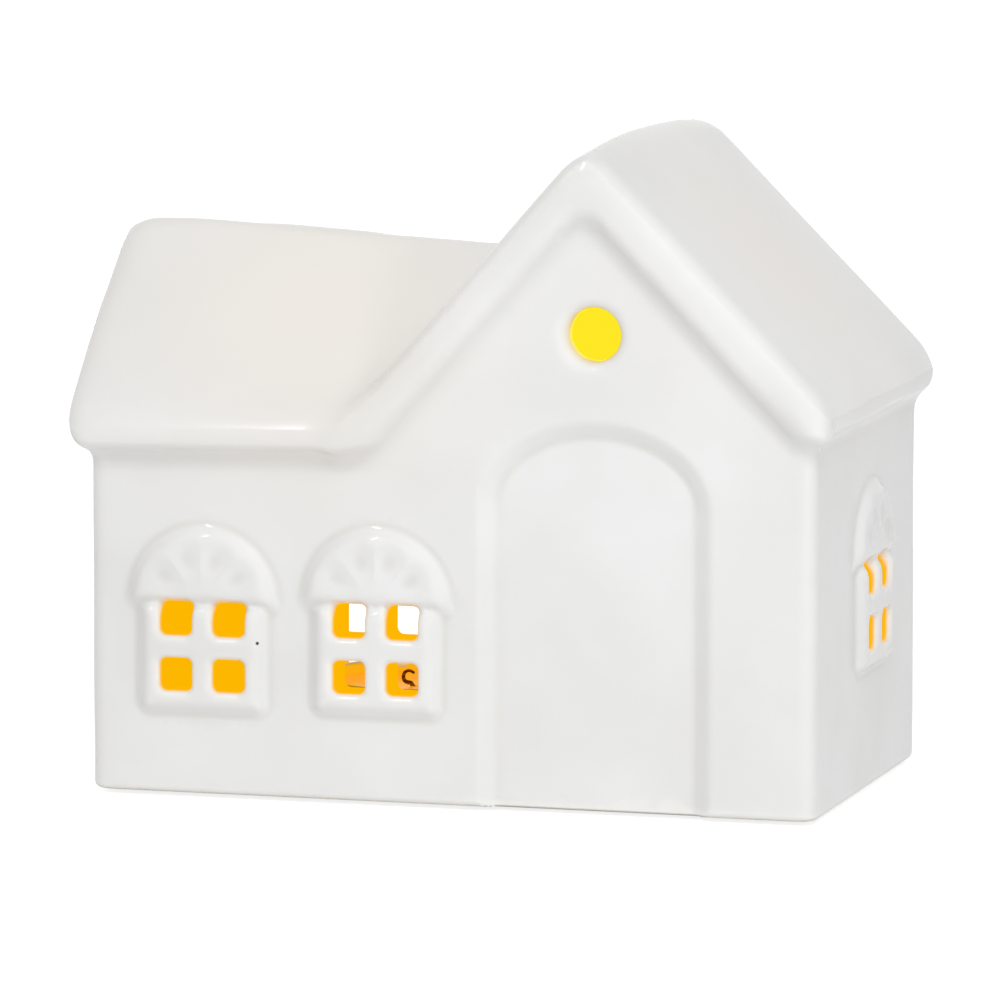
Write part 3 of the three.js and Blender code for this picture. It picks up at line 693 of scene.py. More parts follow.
@dataclass
class HouseShell:
    """The slip-cast house in one piece: walls, wing roof, cross gable, window castings and dish socket.

    Sizes are in mm. Its own heights are counted from its underside and its own X from the middle of its walls;
    shift_x and shift_z bring it to where it stands on its pads.
    """

    shift_x: float = 0.8
    shift_z: float = 0.8
    half_width: float = 70.7
    half_depth: float = 40.0
    wall: float = 8.0
    floor: float = 3.2
    corner_radius: float = 3.0
    foot_radius: float = 1.2

    wing_length: float = 70.0
    wing_ridge_y: float = -8.0
    wing_ridge: float = 107.3
    wing_eave: float = 72.9
    wing_front_drop: float = 3.0
    wing_thick: float = 6.2
    eave_thick: float = 6.4
    eave_bottom: float = 65.2
    wing_overhang: float = 4.8
    wing_end_trim: float = -0.2
    wing_end_lean: float = 1.7
    wing_sag: float = 3.5
    wing_lift: float = 2.0

    gable_ridge_x: float = 26.6
    gable_ridge: float = 125.6
    gable_eave: float = 78.0
    gable_foot_x: float = -19.0
    gable_thick: float = 6.0
    barge_thick: float = 7.6
    gable_overhang: float = 3.9
    gable_eave_overhang: float = 3.1
    gable_crown: float = 2.25
    gable_tilt: float = 0.55

    eave_radius: float = 2.6
    wing_end_radius: float = 5.0
    gable_end_radius: float = 4.0
    wing_ridge_radius: float = 2.2
    gable_ridge_radius: float = 5.0
    wing_cove: float = 4.8
    gable_cove: float = 4.8
    gable_left_trim: float = 0.7
    barge_apex: float = 6.0
    barge_right: float = 0.9
    barge_foot: float = 71.2
    gable_foot_split: float = 10.0
    trim: float = 0.15
    wave_height: float = 0.1
    wing_lap: float = 1.0
    gable_lap: float = 1.2
    right_eave_fade: tuple[float, float] = (56.0, 70.0)
    front_drop_fade: tuple[float, float] = (-10.0, 10.0)
    ridge_round: float = 2.2
    ridge_round_fade: tuple[float, float] = (58.0, 73.0)
    end_tuck: float = 0.8
    end_tuck_fade: tuple[float, float] = (75.0, 67.0)
    end_round: float = 1.5
    end_round_fade: tuple[float, float] = (90.0, 104.0)
    barge_rise: float = 3.2
    barge_rise_fade: tuple[float, float] = (-42.0, -36.0)
    barge_blend: float = 3.0
    barge_eave_blend: float = 1.7
    eave_blend: float = 3.4
    foot_blend: float = 2.4
    valley_blend: float = 2.0

    frame_half: float = 12.3
    frame_height: float = 20.8
    hood_radius: float = 14.2
    relief: float = 2.0
    pane_half_width: float = 3.05
    pane_half_height: float = 3.05
    pane_radius: float = 1.2
    pane_column: float = 5.2
    pane_row: float = 5.3
    pane_middle: float = 12.3
    dimple_ring: float = 8.7
    dimple_step: float = 37.0
    dimple_half: tuple[float, float] = (1.8, 2.5)
    dimple_depth: float = 0.5
    casting_blend: float = 1.6
    pane_blend: float = 1.7
    dimple_blend: float = 0.8
    front_windows: tuple[tuple[float, float], ...] = ((-48.0, 15.9), (-14.0, 16.7))
    side_window_y: float = 3.0
    side_sill: float = 23.3

    door_x: float = 28.2
    door_half: float = 20.75
    door_spring: float = 57.5
    door_rise: float = 14.4
    door_recess: float = 2.1
    door_edge: float = 2.4
    light_x: float = 27.7
    light_height: float = 89.6
    light_radius: float = 5.1
    light_blend: float = 2.8
    cut_past: float = 2.5

    doorway_x: float = -20.4
    doorway_half: float = 23.0
    doorway_spring: float = 40.0
    doorway_rise: float = 12.0

    dish_x: float = -34.0
    ledge: float = 89.86
    dish_straight: float = 8.0
    socket_radius: float = 21.2
    bore_radius: float = 18.8
    socket_wall: float = 2.4
    socket_lip: float = 1.5
    socket_skirt: float = 18.0
    socket_land: float = 4.6
    pad_radius: float = 4.7
    pad_depth: float = 0.9
    pad_inset: float = 10.0

    most_faces: int = 190_000
    piece: Object | None = field(default=None, init=False)

    @property
    def dish_y(self) -> float:
        """Where the middle of the dish's socket lies, behind the wing's ridge."""
        return self.wing_ridge_y + self.socket_land + self.socket_radius

    def past_socket(self, x: Array, y: Array) -> Array:
        """How far places lie outside the wall of the dish's socket."""
        return slot_distance(x - self.dish_x, y - self.dish_y, self.dish_straight, self.socket_radius)

    def wing_slopes(self, x: Array, y: Array, z: Array) -> tuple[Array, Array]:
        """Distances above the wing's front and rear slopes.

        Each slope is a plane through ridge and eave, bent by the kiln: towards the gable its ridge sags and its
        eave lifts, both in proportion to the way along the wing.

        Args:
            x: Places along the house.
            y: Places across it.
            z: Heights.

        Returns:
            The front and the rear distance.
        """
        along = (x + self.half_width) / self.wing_length
        found = []
        for side in (-1.0, 1.0):
            reach = self.half_depth + self.wing_overhang - side * self.wing_ridge_y
            across = side * (y - self.wing_ridge_y) / reach
            fall = (self.wing_ridge - self.wing_eave + (self.wing_front_drop if side < 0.0 else 0.0)) / reach
            bent = along * (-self.wing_sag + (self.wing_sag + self.wing_lift) * across)
            top = self.wing_ridge - fall * reach * across + bent
            found.append((z - top) / math.hypot(1.0, fall))
        return found[0], found[1]

    def gable_slopes(self, x: Array, y: Array, z: Array) -> tuple[Array, Array]:
        """Distances above the gable's left and right slopes, whose ridge is bowed up by the square of the way out.

        Args:
            x: Places along the house.
            y: Places across it.
            z: Heights.

        Returns:
            The left and the right distance.
        """
        foot = self.wing_eave + self.wing_lift * (self.gable_foot_x + self.half_width) / self.wing_length
        fall_left = (self.gable_ridge - foot) / (self.gable_ridge_x - self.gable_foot_x)
        eave_x = self.half_width + self.gable_eave_overhang
        fall_right = (self.gable_ridge - self.gable_eave) / (eave_x - self.gable_ridge_x)
        out = y / (self.half_depth + self.gable_overhang)
        bow = self.gable_crown * np.maximum(1.0 - out * out, 0.0) - self.gable_tilt * out
        found = []
        for fall, across, trim in (
            (fall_left, self.gable_ridge_x - x, self.gable_left_trim),
            (fall_right, x - self.gable_ridge_x, 0.0),
        ):
            top = self.gable_ridge - trim - fall * across
            up = np.clip((top - self.gable_eave) / (self.gable_ridge - self.gable_eave), 0.0, 1.0)
            found.append((z - top - bow * up) / math.hypot(1.0, fall))
        return found[0], found[1]

    def outside(self, x: Array, y: Array, z: Array) -> Array:
        """The field of the house without its rooms: walls, two folded roof slabs and the window castings.

        Args:
            x: Places along the house in mm.
            y: Places across it.
            z: Heights.

        Returns:
            The field in mm, negative inside.
        """
        front, rear = self.wing_slopes(x, y, z)
        left, right = self.gable_slopes(x, y, z)
        wing_over = np.maximum(front, rear)
        gable_over = np.maximum(left, right)
        under_gable = gable_over + self.gable_thick - self.gable_lap
        under_wing = np.maximum(wing_over + self.eave_thick - self.wing_lap, x - self.gable_ridge_x)
        at_eave = step_between(x, *self.right_eave_fade)
        along = np.clip((x + self.half_width) / self.wing_length, 0.0, 1.0)
        drop = self.wing_front_drop * step_between(y, *self.front_drop_fade)
        bottom = self.eave_bottom + self.wing_lift * along + drop - z

        lean = self.wing_end_lean * np.clip((z - self.wing_eave) / (self.wing_ridge - self.wing_eave), 0.0, 1.0)
        ridge = RIDGE_EDGE * self.wing_ridge_radius + self.ridge_round * step_between(-x, *self.ridge_round_fade)
        wing = smooth_max(front, rear, ridge)
        edge = ROOF_EDGE * self.eave_radius
        wing = smooth_max(wing, np.abs(y) - self.half_depth - self.wing_overhang + self.trim, edge)
        wing = smooth_max(wing, -(wing_over + self.eave_thick), 1.2 * self.eave_radius)
        wing = smooth_max(wing, bottom, self.eave_blend)
        end = -x - self.half_width - self.wing_overhang + self.wing_end_trim + lean
        end = end + self.end_tuck * step_between(z, *self.end_tuck_fade)
        end_blend = SQUARE_EDGE * self.wing_end_radius + self.end_round * step_between(z, *self.end_round_fade)
        wing = np.maximum(smooth_max(wing, end, end_blend), x - self.gable_ridge_x)
        wing = smooth_max(wing, -gable_over - self.gable_thick / 2.0, self.valley_blend)

        gable = smooth_max(left, right, RIDGE_EDGE * self.gable_ridge_radius)
        gable = smooth_max(gable, x - self.half_width - self.gable_eave_overhang + self.trim, edge)
        gable = smooth_max(gable, self.gable_foot_x - x, edge)
        front_edge = SQUARE_EDGE * self.gable_end_radius
        gable = smooth_max(gable, np.abs(y) - self.half_depth - self.gable_overhang, front_edge)
        under = smooth_max(left, right + self.barge_right, self.barge_apex) + self.barge_thick
        under = under - self.barge_rise * at_eave * step_between(y, *self.barge_rise_fade)
        gable = smooth_max(gable, -under, self.barge_blend + self.barge_eave_blend * at_eave)
        foot = np.where(x < self.gable_foot_split, bottom, self.barge_foot - z)
        gable = smooth_max(gable, foot, self.foot_blend)

        walls = smooth_max(np.abs(x) - self.half_width, np.abs(y) - self.half_depth, SQUARE_EDGE * self.corner_radius)
        walls = smooth_max(walls, -z, SQUARE_EDGE * self.foot_radius)
        walls = np.maximum(walls, np.minimum(under_wing, under_gable))
        whole = smooth_min(smooth_min(gable, walls, self.gable_cove), wing, self.wing_cove)
        for u, v, w in self.window_places(x, y, z):
            whole = smooth_min(whole, self.window_casting(u, v, w), self.casting_blend)
        whole = smooth_max(whole, np.abs(y) - self.half_depth - self.wing_overhang + self.trim / 2.0, 0.8)
        return np.maximum(whole + self.ripple(x, y, z), self.blind_door(x, y, z))

    def ripple(self, x: Array, y: Array, z: Array) -> Array:
        """The unevenness of hand-finished clay: products of slow sines, which fade out at the foot."""
        waves = np.sin(x / 6.3 + 0.8 + z / 19.0) * np.sin(z / 7.7 + 0.4) + np.sin(y / 6.9 + x / 15.0 + z / 11.0)
        return 0.5 * self.wave_height * waves * step_between(z, 1.0, 12.0)

    def window_places(self, x: Array, y: Array, z: Array) -> list[tuple[Array, Array, Array]]:
        """For each window, places across it, above its sill line and out of its wall."""
        front = [(x - middle, z - sill, -y - self.half_depth) for middle, sill in self.front_windows]
        return [*front, (y - self.side_window_y, z - self.side_sill, x - self.half_width)]

    def window_casting(self, u: Array, v: Array, w: Array) -> Array:
        """A raised frame under a wider half-round hood, with pillowed edges.

        Args:
            u: Places across the window.
            v: Heights above its sill line.
            w: Places out of the wall.

        Returns:
            The field of the casting.
        """
        frame_box = rounded_box(u, v - self.frame_height / 2.0, self.frame_half, self.frame_height / 2.0, 2.0)
        disc = np.hypot(u, v - self.frame_height) - self.hood_radius
        hood = smooth_max(disc, self.frame_height - 0.4 - v, 1.5)
        outline = smooth_min(frame_box, hood, 1.2)
        return np.maximum(smooth_max(outline, w - self.relief, 3.2), -w - self.wall / 2.0)

    def window_cuts(self, u: Array, v: Array, w: Array) -> tuple[Array, Array]:
        """The four lights of a window, and the fan of dimples in its hood.

        The lights are rounded boxes mirrored about the crossing of the bars. A dimple is an ellipsoid whose long
        axis points away from the middle of the hood.

        Args:
            u: Places across the window.
            v: Heights above its sill line.
            w: Places out of the wall.

        Returns:
            The field of the lights and the field of the dimples.
        """
        across = np.abs(u) - self.pane_column
        along = np.abs(v - self.pane_middle) - self.pane_row
        lights = rounded_box(across, along, self.pane_half_width, self.pane_half_height, self.pane_radius)
        lights = np.maximum(lights, -w - self.wall - self.cut_past)
        dimples = None
        short, long = self.dimple_half
        for share in (0.5, 1.5):
            lean = math.radians(share * self.dimple_step)
            out_u, out_v = math.sin(lean), math.cos(lean)
            du = np.abs(u) - self.dimple_ring * out_u
            dv = v - self.frame_height - self.dimple_ring * out_v
            radial = (du * out_u + dv * out_v) / long
            round_ = (du * out_v - dv * out_u) / short
            depth = (w - self.relief) / self.dimple_depth
            petal = (np.sqrt(radial * radial + round_ * round_ + depth * depth) - 1.0) * self.dimple_depth
            dimples = petal if dimples is None else np.minimum(dimples, petal)
        return lights, dimples

    def rooms(self, x: Array, y: Array, z: Array) -> Array:
        """The field of the room in the wing joined with the room in the gable, both negative inside."""
        left, right = self.gable_slopes(x, y, z)
        wing_over = np.maximum(*self.wing_slopes(x, y, z))
        deep = np.maximum(np.abs(y) - self.half_depth + self.wall, self.floor - z)
        deep = np.maximum(deep, np.abs(x) - self.half_width + self.wall)
        wing = np.maximum(wing_over + self.wing_thick, x - self.gable_ridge_x)
        gable = np.maximum(left, right) + self.gable_thick
        return smooth_max(smooth_min(wing, gable, 4.0), deep, 3.0)

    def arch(self, x: Array, z: Array, middle: float, half: float, spring: float, rise: float) -> Array:
        """The distance to an opening with straight sides under half an ellipse.

        It is the ellipse's own measure less one, over the length of its gradient.

        Args:
            x: Places across.
            z: Heights.
            middle: Middle of the opening.
            half: Half width.
            spring: Height where the sides end.
            rise: Height of the arch above that.

        Returns:
            The distance in mm, negative inside.
        """
        across = np.abs(x - middle)
        up = np.maximum(z - spring, 0.0)
        measure = np.hypot(across / half, up / rise)
        steep = np.hypot(across / half**2, up / rise**2) / np.maximum(measure, 1e-6)
        return (measure - 1.0) / np.maximum(steep, 0.5 / half)

    def blind_door(self, x: Array, y: Array, z: Array) -> Array:
        """The field of the front wall with its arched recess, whose edge falls back as a smooth step."""
        door = self.arch(x, z, self.door_x, self.door_half, self.door_spring, self.door_rise)
        back = self.door_recess * step_between(-door, -self.door_edge, self.door_edge)
        face = -y - self.half_depth + back + self.ripple(x, y, z)
        return np.where(door < self.door_edge + 0.5, face, -self.half_depth)

    def shell(self, x: Array, y: Array, z: Array) -> Array:
        """The field of the finished shell: the outside, hollowed, with its socket and all its cuts.

        Args:
            x: Places along the house in mm.
            y: Places across it.
            z: Heights.

        Returns:
            The field in mm, negative inside.
        """
        out = self.outside(x, y, z)
        whole = smooth_max(out, -self.rooms(x, y, z), 1.2)
        in_slot = slot_distance(x - self.dish_x, y - self.dish_y, self.dish_straight, 0.0)
        top = np.minimum(z - self.ledge - self.socket_lip, out + 0.6)
        collar = smooth_max(in_slot - self.socket_radius - self.socket_wall, top, 2.4)
        collar = np.maximum(collar, self.ledge - self.socket_skirt - z)
        whole = smooth_min(whole, collar, 3.0)
        bore = np.maximum(in_slot - self.bore_radius, self.ledge - self.socket_skirt - 2.0 - z)
        seat = np.maximum(in_slot - self.socket_radius, self.ledge - z)
        whole = smooth_max(whole, -np.minimum(bore, seat), 0.9)

        hole = np.hypot(x - self.light_x, z - self.light_height) - self.light_radius
        hole = np.maximum(hole, y + self.half_depth - self.wall - self.cut_past)
        whole = smooth_max(whole, -hole, self.light_blend)
        doorway = self.arch(x, z, self.doorway_x, self.doorway_half, self.doorway_spring, self.doorway_rise)
        doorway = np.maximum(np.maximum(doorway, self.floor - z), self.half_depth - self.wall - self.cut_past - y)
        whole = smooth_max(whole, -doorway, 1.8)
        for u, v, w in self.window_places(x, y, z):
            lights, dimples = self.window_cuts(u, v, w)
            whole = smooth_max(whole, -lights, self.pane_blend)
            whole = smooth_max(whole, -dimples, self.dimple_blend)
        inset = self.pad_inset
        pads = np.hypot(np.abs(x) - self.half_width + inset, np.abs(y) - self.half_depth + inset)
        return np.maximum(whole, -np.maximum(pads - self.pad_radius, z - self.pad_depth))

    def slope_of(self, points: Array) -> tuple[Array, Array]:
        """The shell's field at points, and its gradient from differences over a fiftieth of a millimetre.

        Args:
            points: Places of shape (n, 3).

        Returns:
            The field and its gradient.
        """
        small = 0.02
        columns = [points[:, i] for i in range(3)]
        here = self.shell(*columns)
        steps = []
        for i in range(3):
            ahead = [c + small if k == i else c for k, c in enumerate(columns)]
            behind = [c - small if k == i else c for k, c in enumerate(columns)]
            steps.append((self.shell(*ahead) - self.shell(*behind)) / (2.0 * small))
        return here, np.stack(steps, axis=1)

    def build(self) -> Object:
        """Nets the shell's field, pulls the net onto the surface, thins it and gives it the field's own normals.

        The surface is where the shell's field is zero. Its normal is the direction of the field's gradient.

        Returns:
            The shell's object.
        """
        axes = [
            grid_line(
                *((-77.0, 0.9), (-63.0, 0.55), (1.0, 0.9), (4.0, 0.7), (11.0, 0.9)),
                *((45.0, 0.7), (52.0, 0.9), (65.0, 0.6), (76.0, 1.0)),
            ),
            grid_line((-46.0, 0.6), (-33.0, 1.0), (-13.0, 0.6), (19.0, 1.0), (46.0, 1.0)),
            grid_line((-2.0, 0.7), (3.0, 0.9), (14.0, 0.55), (55.0, 0.7), (80.0, 0.9), (130.0, 1.0)),
        ]
        x, y, z = (a.reshape([-1 if i == k else 1 for k in range(3)]) for i, a in enumerate(axes))
        values = np.concatenate([self.shell(x[i : i + 8], y, z) for i in range(0, len(x), 8)])
        points, quads = surface_net(axes, values)
        for _ in range(3):
            here, slope = self.slope_of(points)
            steep = np.maximum((slope * slope).sum(axis=1), 0.05)
            points -= np.clip(here / steep, -0.4, 0.4)[:, None] * slope
        place = np.array([self.shift_x, 0.0, self.shift_z])
        piece = mesh_object("house_shell", points + place, quads)
        hidden = piece.vertex_groups.new(name="hidden")
        x, y, z = points.T
        shown = (self.past_socket(x, y) < 4.0) & (z > self.ledge - 22.0)
        far_in = (self.outside(x, y, z) < -3.0) & ~shown
        hidden.add(np.nonzero(far_in)[0].tolist(), 1.0, "REPLACE")
        hidden.add(np.nonzero(~far_in)[0].tolist(), 0.1, "REPLACE")
        thin = piece.modifiers.new("thin", "DECIMATE")
        thin.vertex_group = hidden.name
        thin.vertex_group_factor = 6.0
        thin.ratio = min(1.0, self.most_faces / (2.0 * len(quads)))
        ready = piece.evaluated_get(bpy.context.evaluated_depsgraph_get())
        mesh = bpy.data.meshes.new_from_object(ready)
        piece.modifiers.clear()
        piece.vertex_groups.clear()
        piece.data = mesh
        mesh.name = piece.name
        self._mark(mesh, place)
        self.piece = piece
        return piece

    def _mark(self, mesh: bpy.types.Mesh, place: Array) -> None:
        """Stores smooth normals, and where the shell is candle-lit, hollow, thin-edged and unglazed.

        Hollows and edges are where the field bends: the mean of the field a little way off on six sides, less the
        field itself, is above zero at an edge and below it in a hollow; the hollow mark greys the glaze, partly as
        glaze gathered there and partly as painted shade. The candle's light is painted on as glow, which starts under
        the rim of an opening and is full a few millimetres in. The wall of the dish's socket is marked as its seat.

        Args:
            mesh: The shell's mesh.
            place: Where the shell stands, in mm.
        """
        points = points_of(mesh) - place
        _, slope = self.slope_of(points)
        slope /= np.linalg.norm(slope, axis=1, keepdims=True)
        x, y, z = points.T
        off = 1.6
        bend = sum(
            self.shell(x + off * dx, y + off * dy, z + off * dz)
            for dx, dy, dz in ((1, 0, 0), (-1, 0, 0), (0, 1, 0), (0, -1, 0), (0, 0, 1), (0, 0, -1))
        ) / 6.0
        deep = -self.outside(x, y, z)
        loft = step_between(z, 76.0, 82.0)
        marks = {
            # glow: where the candle's light is painted on; hollow: greys creases, partly glaze gathered there and
            # partly painted shade
            "glow": step_between(deep - 2.9 * loft, 0.6, 1.3) * step_between(z, 1.6, 2.8),
            "seat": step_between(self.past_socket(x, y), 4.0, 3.0),
            "hollow": step_between(-bend, 0.04, 0.3),
            "edge": step_between(bend, 0.05, 0.35),
            "bare": step_between(-slope[:, 2], 0.6, 0.95) * step_between(z, 1.6, 1.0),
        }
        for name, value in marks.items():
            store(mesh, name, value)
        mesh.normals_split_custom_set_from_vertices(slope.tolist())

    def dress(self, glaze: WhiteGlaze) -> None:
        """Gives the shell its glaze and sets it on the house body."""
        self.piece.data.materials.clear()
        self.piece.data.materials.append(glaze.material())
        settle(self.piece, Body.HOUSE, Slot.HOUSE_GLAZE, "house_body")


@dataclass
class OilDish:
    """The lift-out dish: a bowl with a broad flange, pulled into a slot shape. Sizes in mm."""

    x: float = -33.2
    y: float = 17.8
    ledge: float = 90.96
    straight: float = 8.0
    flange: float = 20.6
    bowl: float = 18.2
    wall: float = 2.2
    drop: float = 12.0
    rise: float = 3.4
    turn_steps: int = 96
    piece: Object | None = field(default=None, init=False)

    def build(self) -> Object:
        """Carries the dish's profile round a slot: half turns about the two ends of a straight line.

        Returns:
            The dish's object.
        """
        inner, bottom, floor = self.bowl - self.wall, -self.drop, self.wall - self.drop
        foot = [(0.0, bottom + 0.5), (self.bowl * 0.5, bottom + 0.5), (self.bowl * 0.56, bottom)]
        outer = [(self.bowl * 0.66, bottom), (self.bowl * 0.93, bottom + 1.6), (self.bowl, bottom + 6.0)]
        seat = [(self.bowl, -0.6), (self.bowl + 0.1, 0.0), (self.flange - 0.6, 0.0), (self.flange, 0.3)]
        rim = [(self.flange, self.rise - 1.2), (self.flange - 1.0, self.rise), (inner + 1.4, self.rise)]
        well = [(inner, self.rise - 1.6), (inner * 0.97, floor + 4.6), (inner * 0.84, floor + 0.8)]
        profile = softened([*foot, *outer, *seat, *rim, *well, (inner * 0.5, floor), (0.0, floor)])
        half = np.linspace(-math.pi / 2.0, math.pi / 2.0, self.turn_steps // 2)
        angle = np.concatenate([half, half + math.pi])
        end_x = self.x + np.repeat([1.0, -1.0], len(half)) * self.straight / 2.0
        self.piece = turned_object(
            "glazed_dish", end_x, self.y, profile[:, :1], self.ledge + profile[:, 1:], angle
        )
        return self.piece

    def dress(self, glaze: WhiteGlaze) -> None:
        """Gives the dish its glaze and sets it on the dish body."""
        self.piece.data.materials.append(glaze.material())
        settle(self.piece, Body.DISH, Slot.DISH_GLAZE, "oil_dish")


@dataclass
class TeaLight:
    """A burning tea light: fluted cup, wax with a molten pool, wick on its tab, and flame. Sizes in mm."""

    x: float = -19.6
    y: float = 8.0
    bottom: float = 4.3
    radius: float = 19.0
    height: float = 13.6
    sheet: float = 0.4
    flutes: int = 40
    flute_depth: float = 0.16
    wax_bottom: float = 0.6
    wax_top: float = 11.6
    pool: float = 0.8
    wick_radius: float = 0.42
    wick_rise: float = 2.6
    wick_lean: float = 2.8
    wick_curl: float = 1.15
    plait: float = 1.4
    flame_gap: float = 1.2
    flame_height: float = 10.8
    flame_radius: float = 2.4
    flame_lean: float = 3.4
    pieces: dict[str, Object] = field(default_factory=dict, init=False)

    @property
    def pool_height(self) -> float:
        """The height of the molten wax above the table."""
        return self.bottom + self.wax_top - self.pool

    @property
    def flame_foot(self) -> float:
        """The height of the flame's foot above the table."""
        return self.pool_height + self.wick_rise + self.flame_gap

    def build(self) -> None:
        """Builds cup, wax, wick and flame."""
        self.pieces = {
            "cup": self._build_cup(),
            "wax": self._build_wax(),
            "wick": self._build_wick(),
            "flame": self._build_flame(),
        }

    def _build_cup(self) -> Object:
        """The cup's wall is fluted by a cosine round the turn, which fades out at its foot and its rolled rim.

        Its inner wall above the wax is marked for the flame's light, painted on as glow.

        Returns:
            The cup's object.
        """
        outer, inner, top = self.radius, self.radius - self.sheet, self.height
        foot = [(0.0, 0.0), (outer - 2.4, 0.0), (outer - 2.0, 0.25), (outer - 0.7, 0.1), (outer, 0.9)]
        wall = [(outer, 4.0), (outer, 8.0), (outer, top - 1.2)]
        rim = [(outer + 0.5, top - 0.9), (outer + 0.5, top - 0.1), (outer - 0.1, top), (inner, top - 0.5)]
        well = [(inner, 8.0), (inner, 4.0), (inner, 1.0), (inner - 0.6, self.sheet), (0.0, self.sheet)]
        profile = softened([*foot, *wall, *rim, *well], 2)
        angle = full_turn(self.flutes * 6)
        radius, height = profile[:, :1], profile[:, 1:]
        on_wall = step_between(height, 0.8, 2.2) * step_between(height, top - 1.0, top - 2.4)
        on_wall = on_wall * step_between(radius, outer - 1.0, outer - 0.5)
        flute = -self.flute_depth * on_wall * (1.0 - np.cos(self.flutes * angle)) / 2.0
        cup = turned_object("fluted_cup", self.x, self.y, radius + flute, self.bottom + height, angle)
        x, y, z = points_of(cup.data).T
        wax = self.bottom + self.wax_top
        lit = step_between(np.hypot(x - self.x, y - self.y), outer - 0.2, outer - 0.35)
        store(cup.data, "glow", lit * step_between(z, wax - 2.0, wax - 1.0))
        return cup

    def _build_wax(self) -> Object:
        """The wax is a disc whose top dips to a pool inside a lip, with a round hole for the wick and its tab.

        Returns:
            The wax's object.
        """
        outer = self.radius - self.sheet - 0.25
        low, high, pool = self.wax_bottom, self.wax_top, self.wax_top - self.pool
        hole, neck, tab = self.wick_radius + 0.15, 1.9, 8.2
        side = [(tab, low), (outer - 0.4, low), (outer, low + 0.4), (outer, high - 0.3), (outer - 0.3, high)]
        lip = [(outer - 1.4, high - 0.05), (outer - 3.0, pool + 0.1), (outer - 4.4, pool), (4.0, pool)]
        well = [(1.6, pool + 0.15), (hole, pool + 0.5), (hole, pool - 1.0), (hole, 5.4), (neck, 5.3)]
        profile = softened([*side, *lip, *well, (neck, 1.25), (tab, 1.2), (tab, low)], 2)
        return turned_object(
            "melted_wax", self.x, self.y, profile[:, :1], self.bottom + profile[:, 1:], full_turn(72)
        )

    def _build_wick(self) -> Object:
        """The wick is a tube along a path that stands up, leans over and curls at its burnt end.

        The path's height and lean are smooth functions of its length; the curl is a small circle added at the end.
        A map round and up the wick is stored in plaits of the braid.

        Returns:
            The wick's object.
        """
        t = np.linspace(0.0, 1.0, 56)
        low, small = self.bottom + 0.7, self.wick_curl
        rise = step_between(t, 0.0, 0.55) * 0.4 + 0.6 * np.clip(t / 0.62, 0.0, 1.0)
        curl = np.clip((t - 0.62) / 0.38, 0.0, 1.0)
        turn = curl * 4.2
        x = self.x - step_between(t, 0.4, 0.72) * (self.wick_lean - small) - small * np.sin(turn)
        z = low + (self.pool_height + self.wick_rise - 1.7 - low) * rise + small * (1.0 - np.cos(turn))
        path = np.stack([x, self.y + 0.5 * curl * curl, z], axis=1)
        ahead = np.gradient(path, axis=0)
        ahead /= np.linalg.norm(ahead, axis=1, keepdims=True)
        side = np.array([0.0, 1.0, 0.0]) - ahead * ahead[:, 1:2]
        side /= np.linalg.norm(side, axis=1, keepdims=True)
        other = np.cross(ahead, side)
        angle = full_turn(14)
        plait = 1.0 + 0.1 * np.sin(3.0 * angle[None, :] + 40.0 * t[:, None])
        width = self.wick_radius * (1.0 - 0.35 * step_between(t, 0.55, 1.0))[:, None] * plait
        width[[0, -1]] = 0.0
        ring = (
            path[:, None, :]
            + (width * np.cos(angle))[:, :, None] * side[:, None, :]
            + (width * np.sin(angle))[:, :, None] * other[:, None, :]
        )
        wick = closed_object("burnt_wick", ring)
        corner = np.empty(len(wick.data.loops), dtype=np.int32)
        wick.data.loops.foreach_get("vertex_index", corner)
        points = points_of(wick.data)[corner]
        around = np.arctan2(points[:, 1] - self.y, points[:, 0] - self.x) / math.pi
        braid = np.stack([around, points[:, 2] / self.plait], axis=1)
        wick.data.uv_layers.new(name="braid").data.foreach_set("uv", braid.astype(np.float32).ravel())
        return wick

    def _build_flame(self) -> Object:
        """The flame is a teardrop: its radius is a sine of the way up to the power 0.62, drawn out to a point.

        Its axis leans with the draught.

        Returns:
            The flame's object.
        """
        t = np.linspace(0.0, 1.0, 40)[:, None]
        radius = self.flame_radius * np.sin(math.pi * t**0.62) ** 0.9
        middle = self.x - self.wick_lean - 0.1 - self.flame_lean * t
        height = self.flame_foot + self.flame_height * t
        return turned_object("flame", middle, self.y, radius, height, full_turn(32))

    def dress(self, metal: PressedAluminium) -> None:
        """Gives each piece its finish and sets it on the tea light's body.

        Args:
            metal: The finish of cup and tab.
        """
        sheet = metal.material()
        top = self.flame_foot + self.flame_height
        for name, finish, slot, nodes in (
            ("cup", sheet, Slot.CUP, ["tealight_cup"]),
            ("wax", ParaffinWax(wick_mm=(self.x, self.y)).material(), Slot.WAX, ["tealight_wax"]),
            ("wick", BurntCotton().material(), Slot.WICK, ["wick"]),
            ("flame", CandleFlame(foot_mm=self.flame_foot, top_mm=top).material(), Slot.WAX, []),
        ):
            self.pieces[name].data.materials.append(finish)
            settle(self.pieces[name], Body.TEALIGHT, slot, *nodes)
        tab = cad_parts["wick_tab"]
        tab.data.materials.clear()
        tab.data.materials.append(sheet)
        LOG.info("wick_tab: keeps its CAD shape")


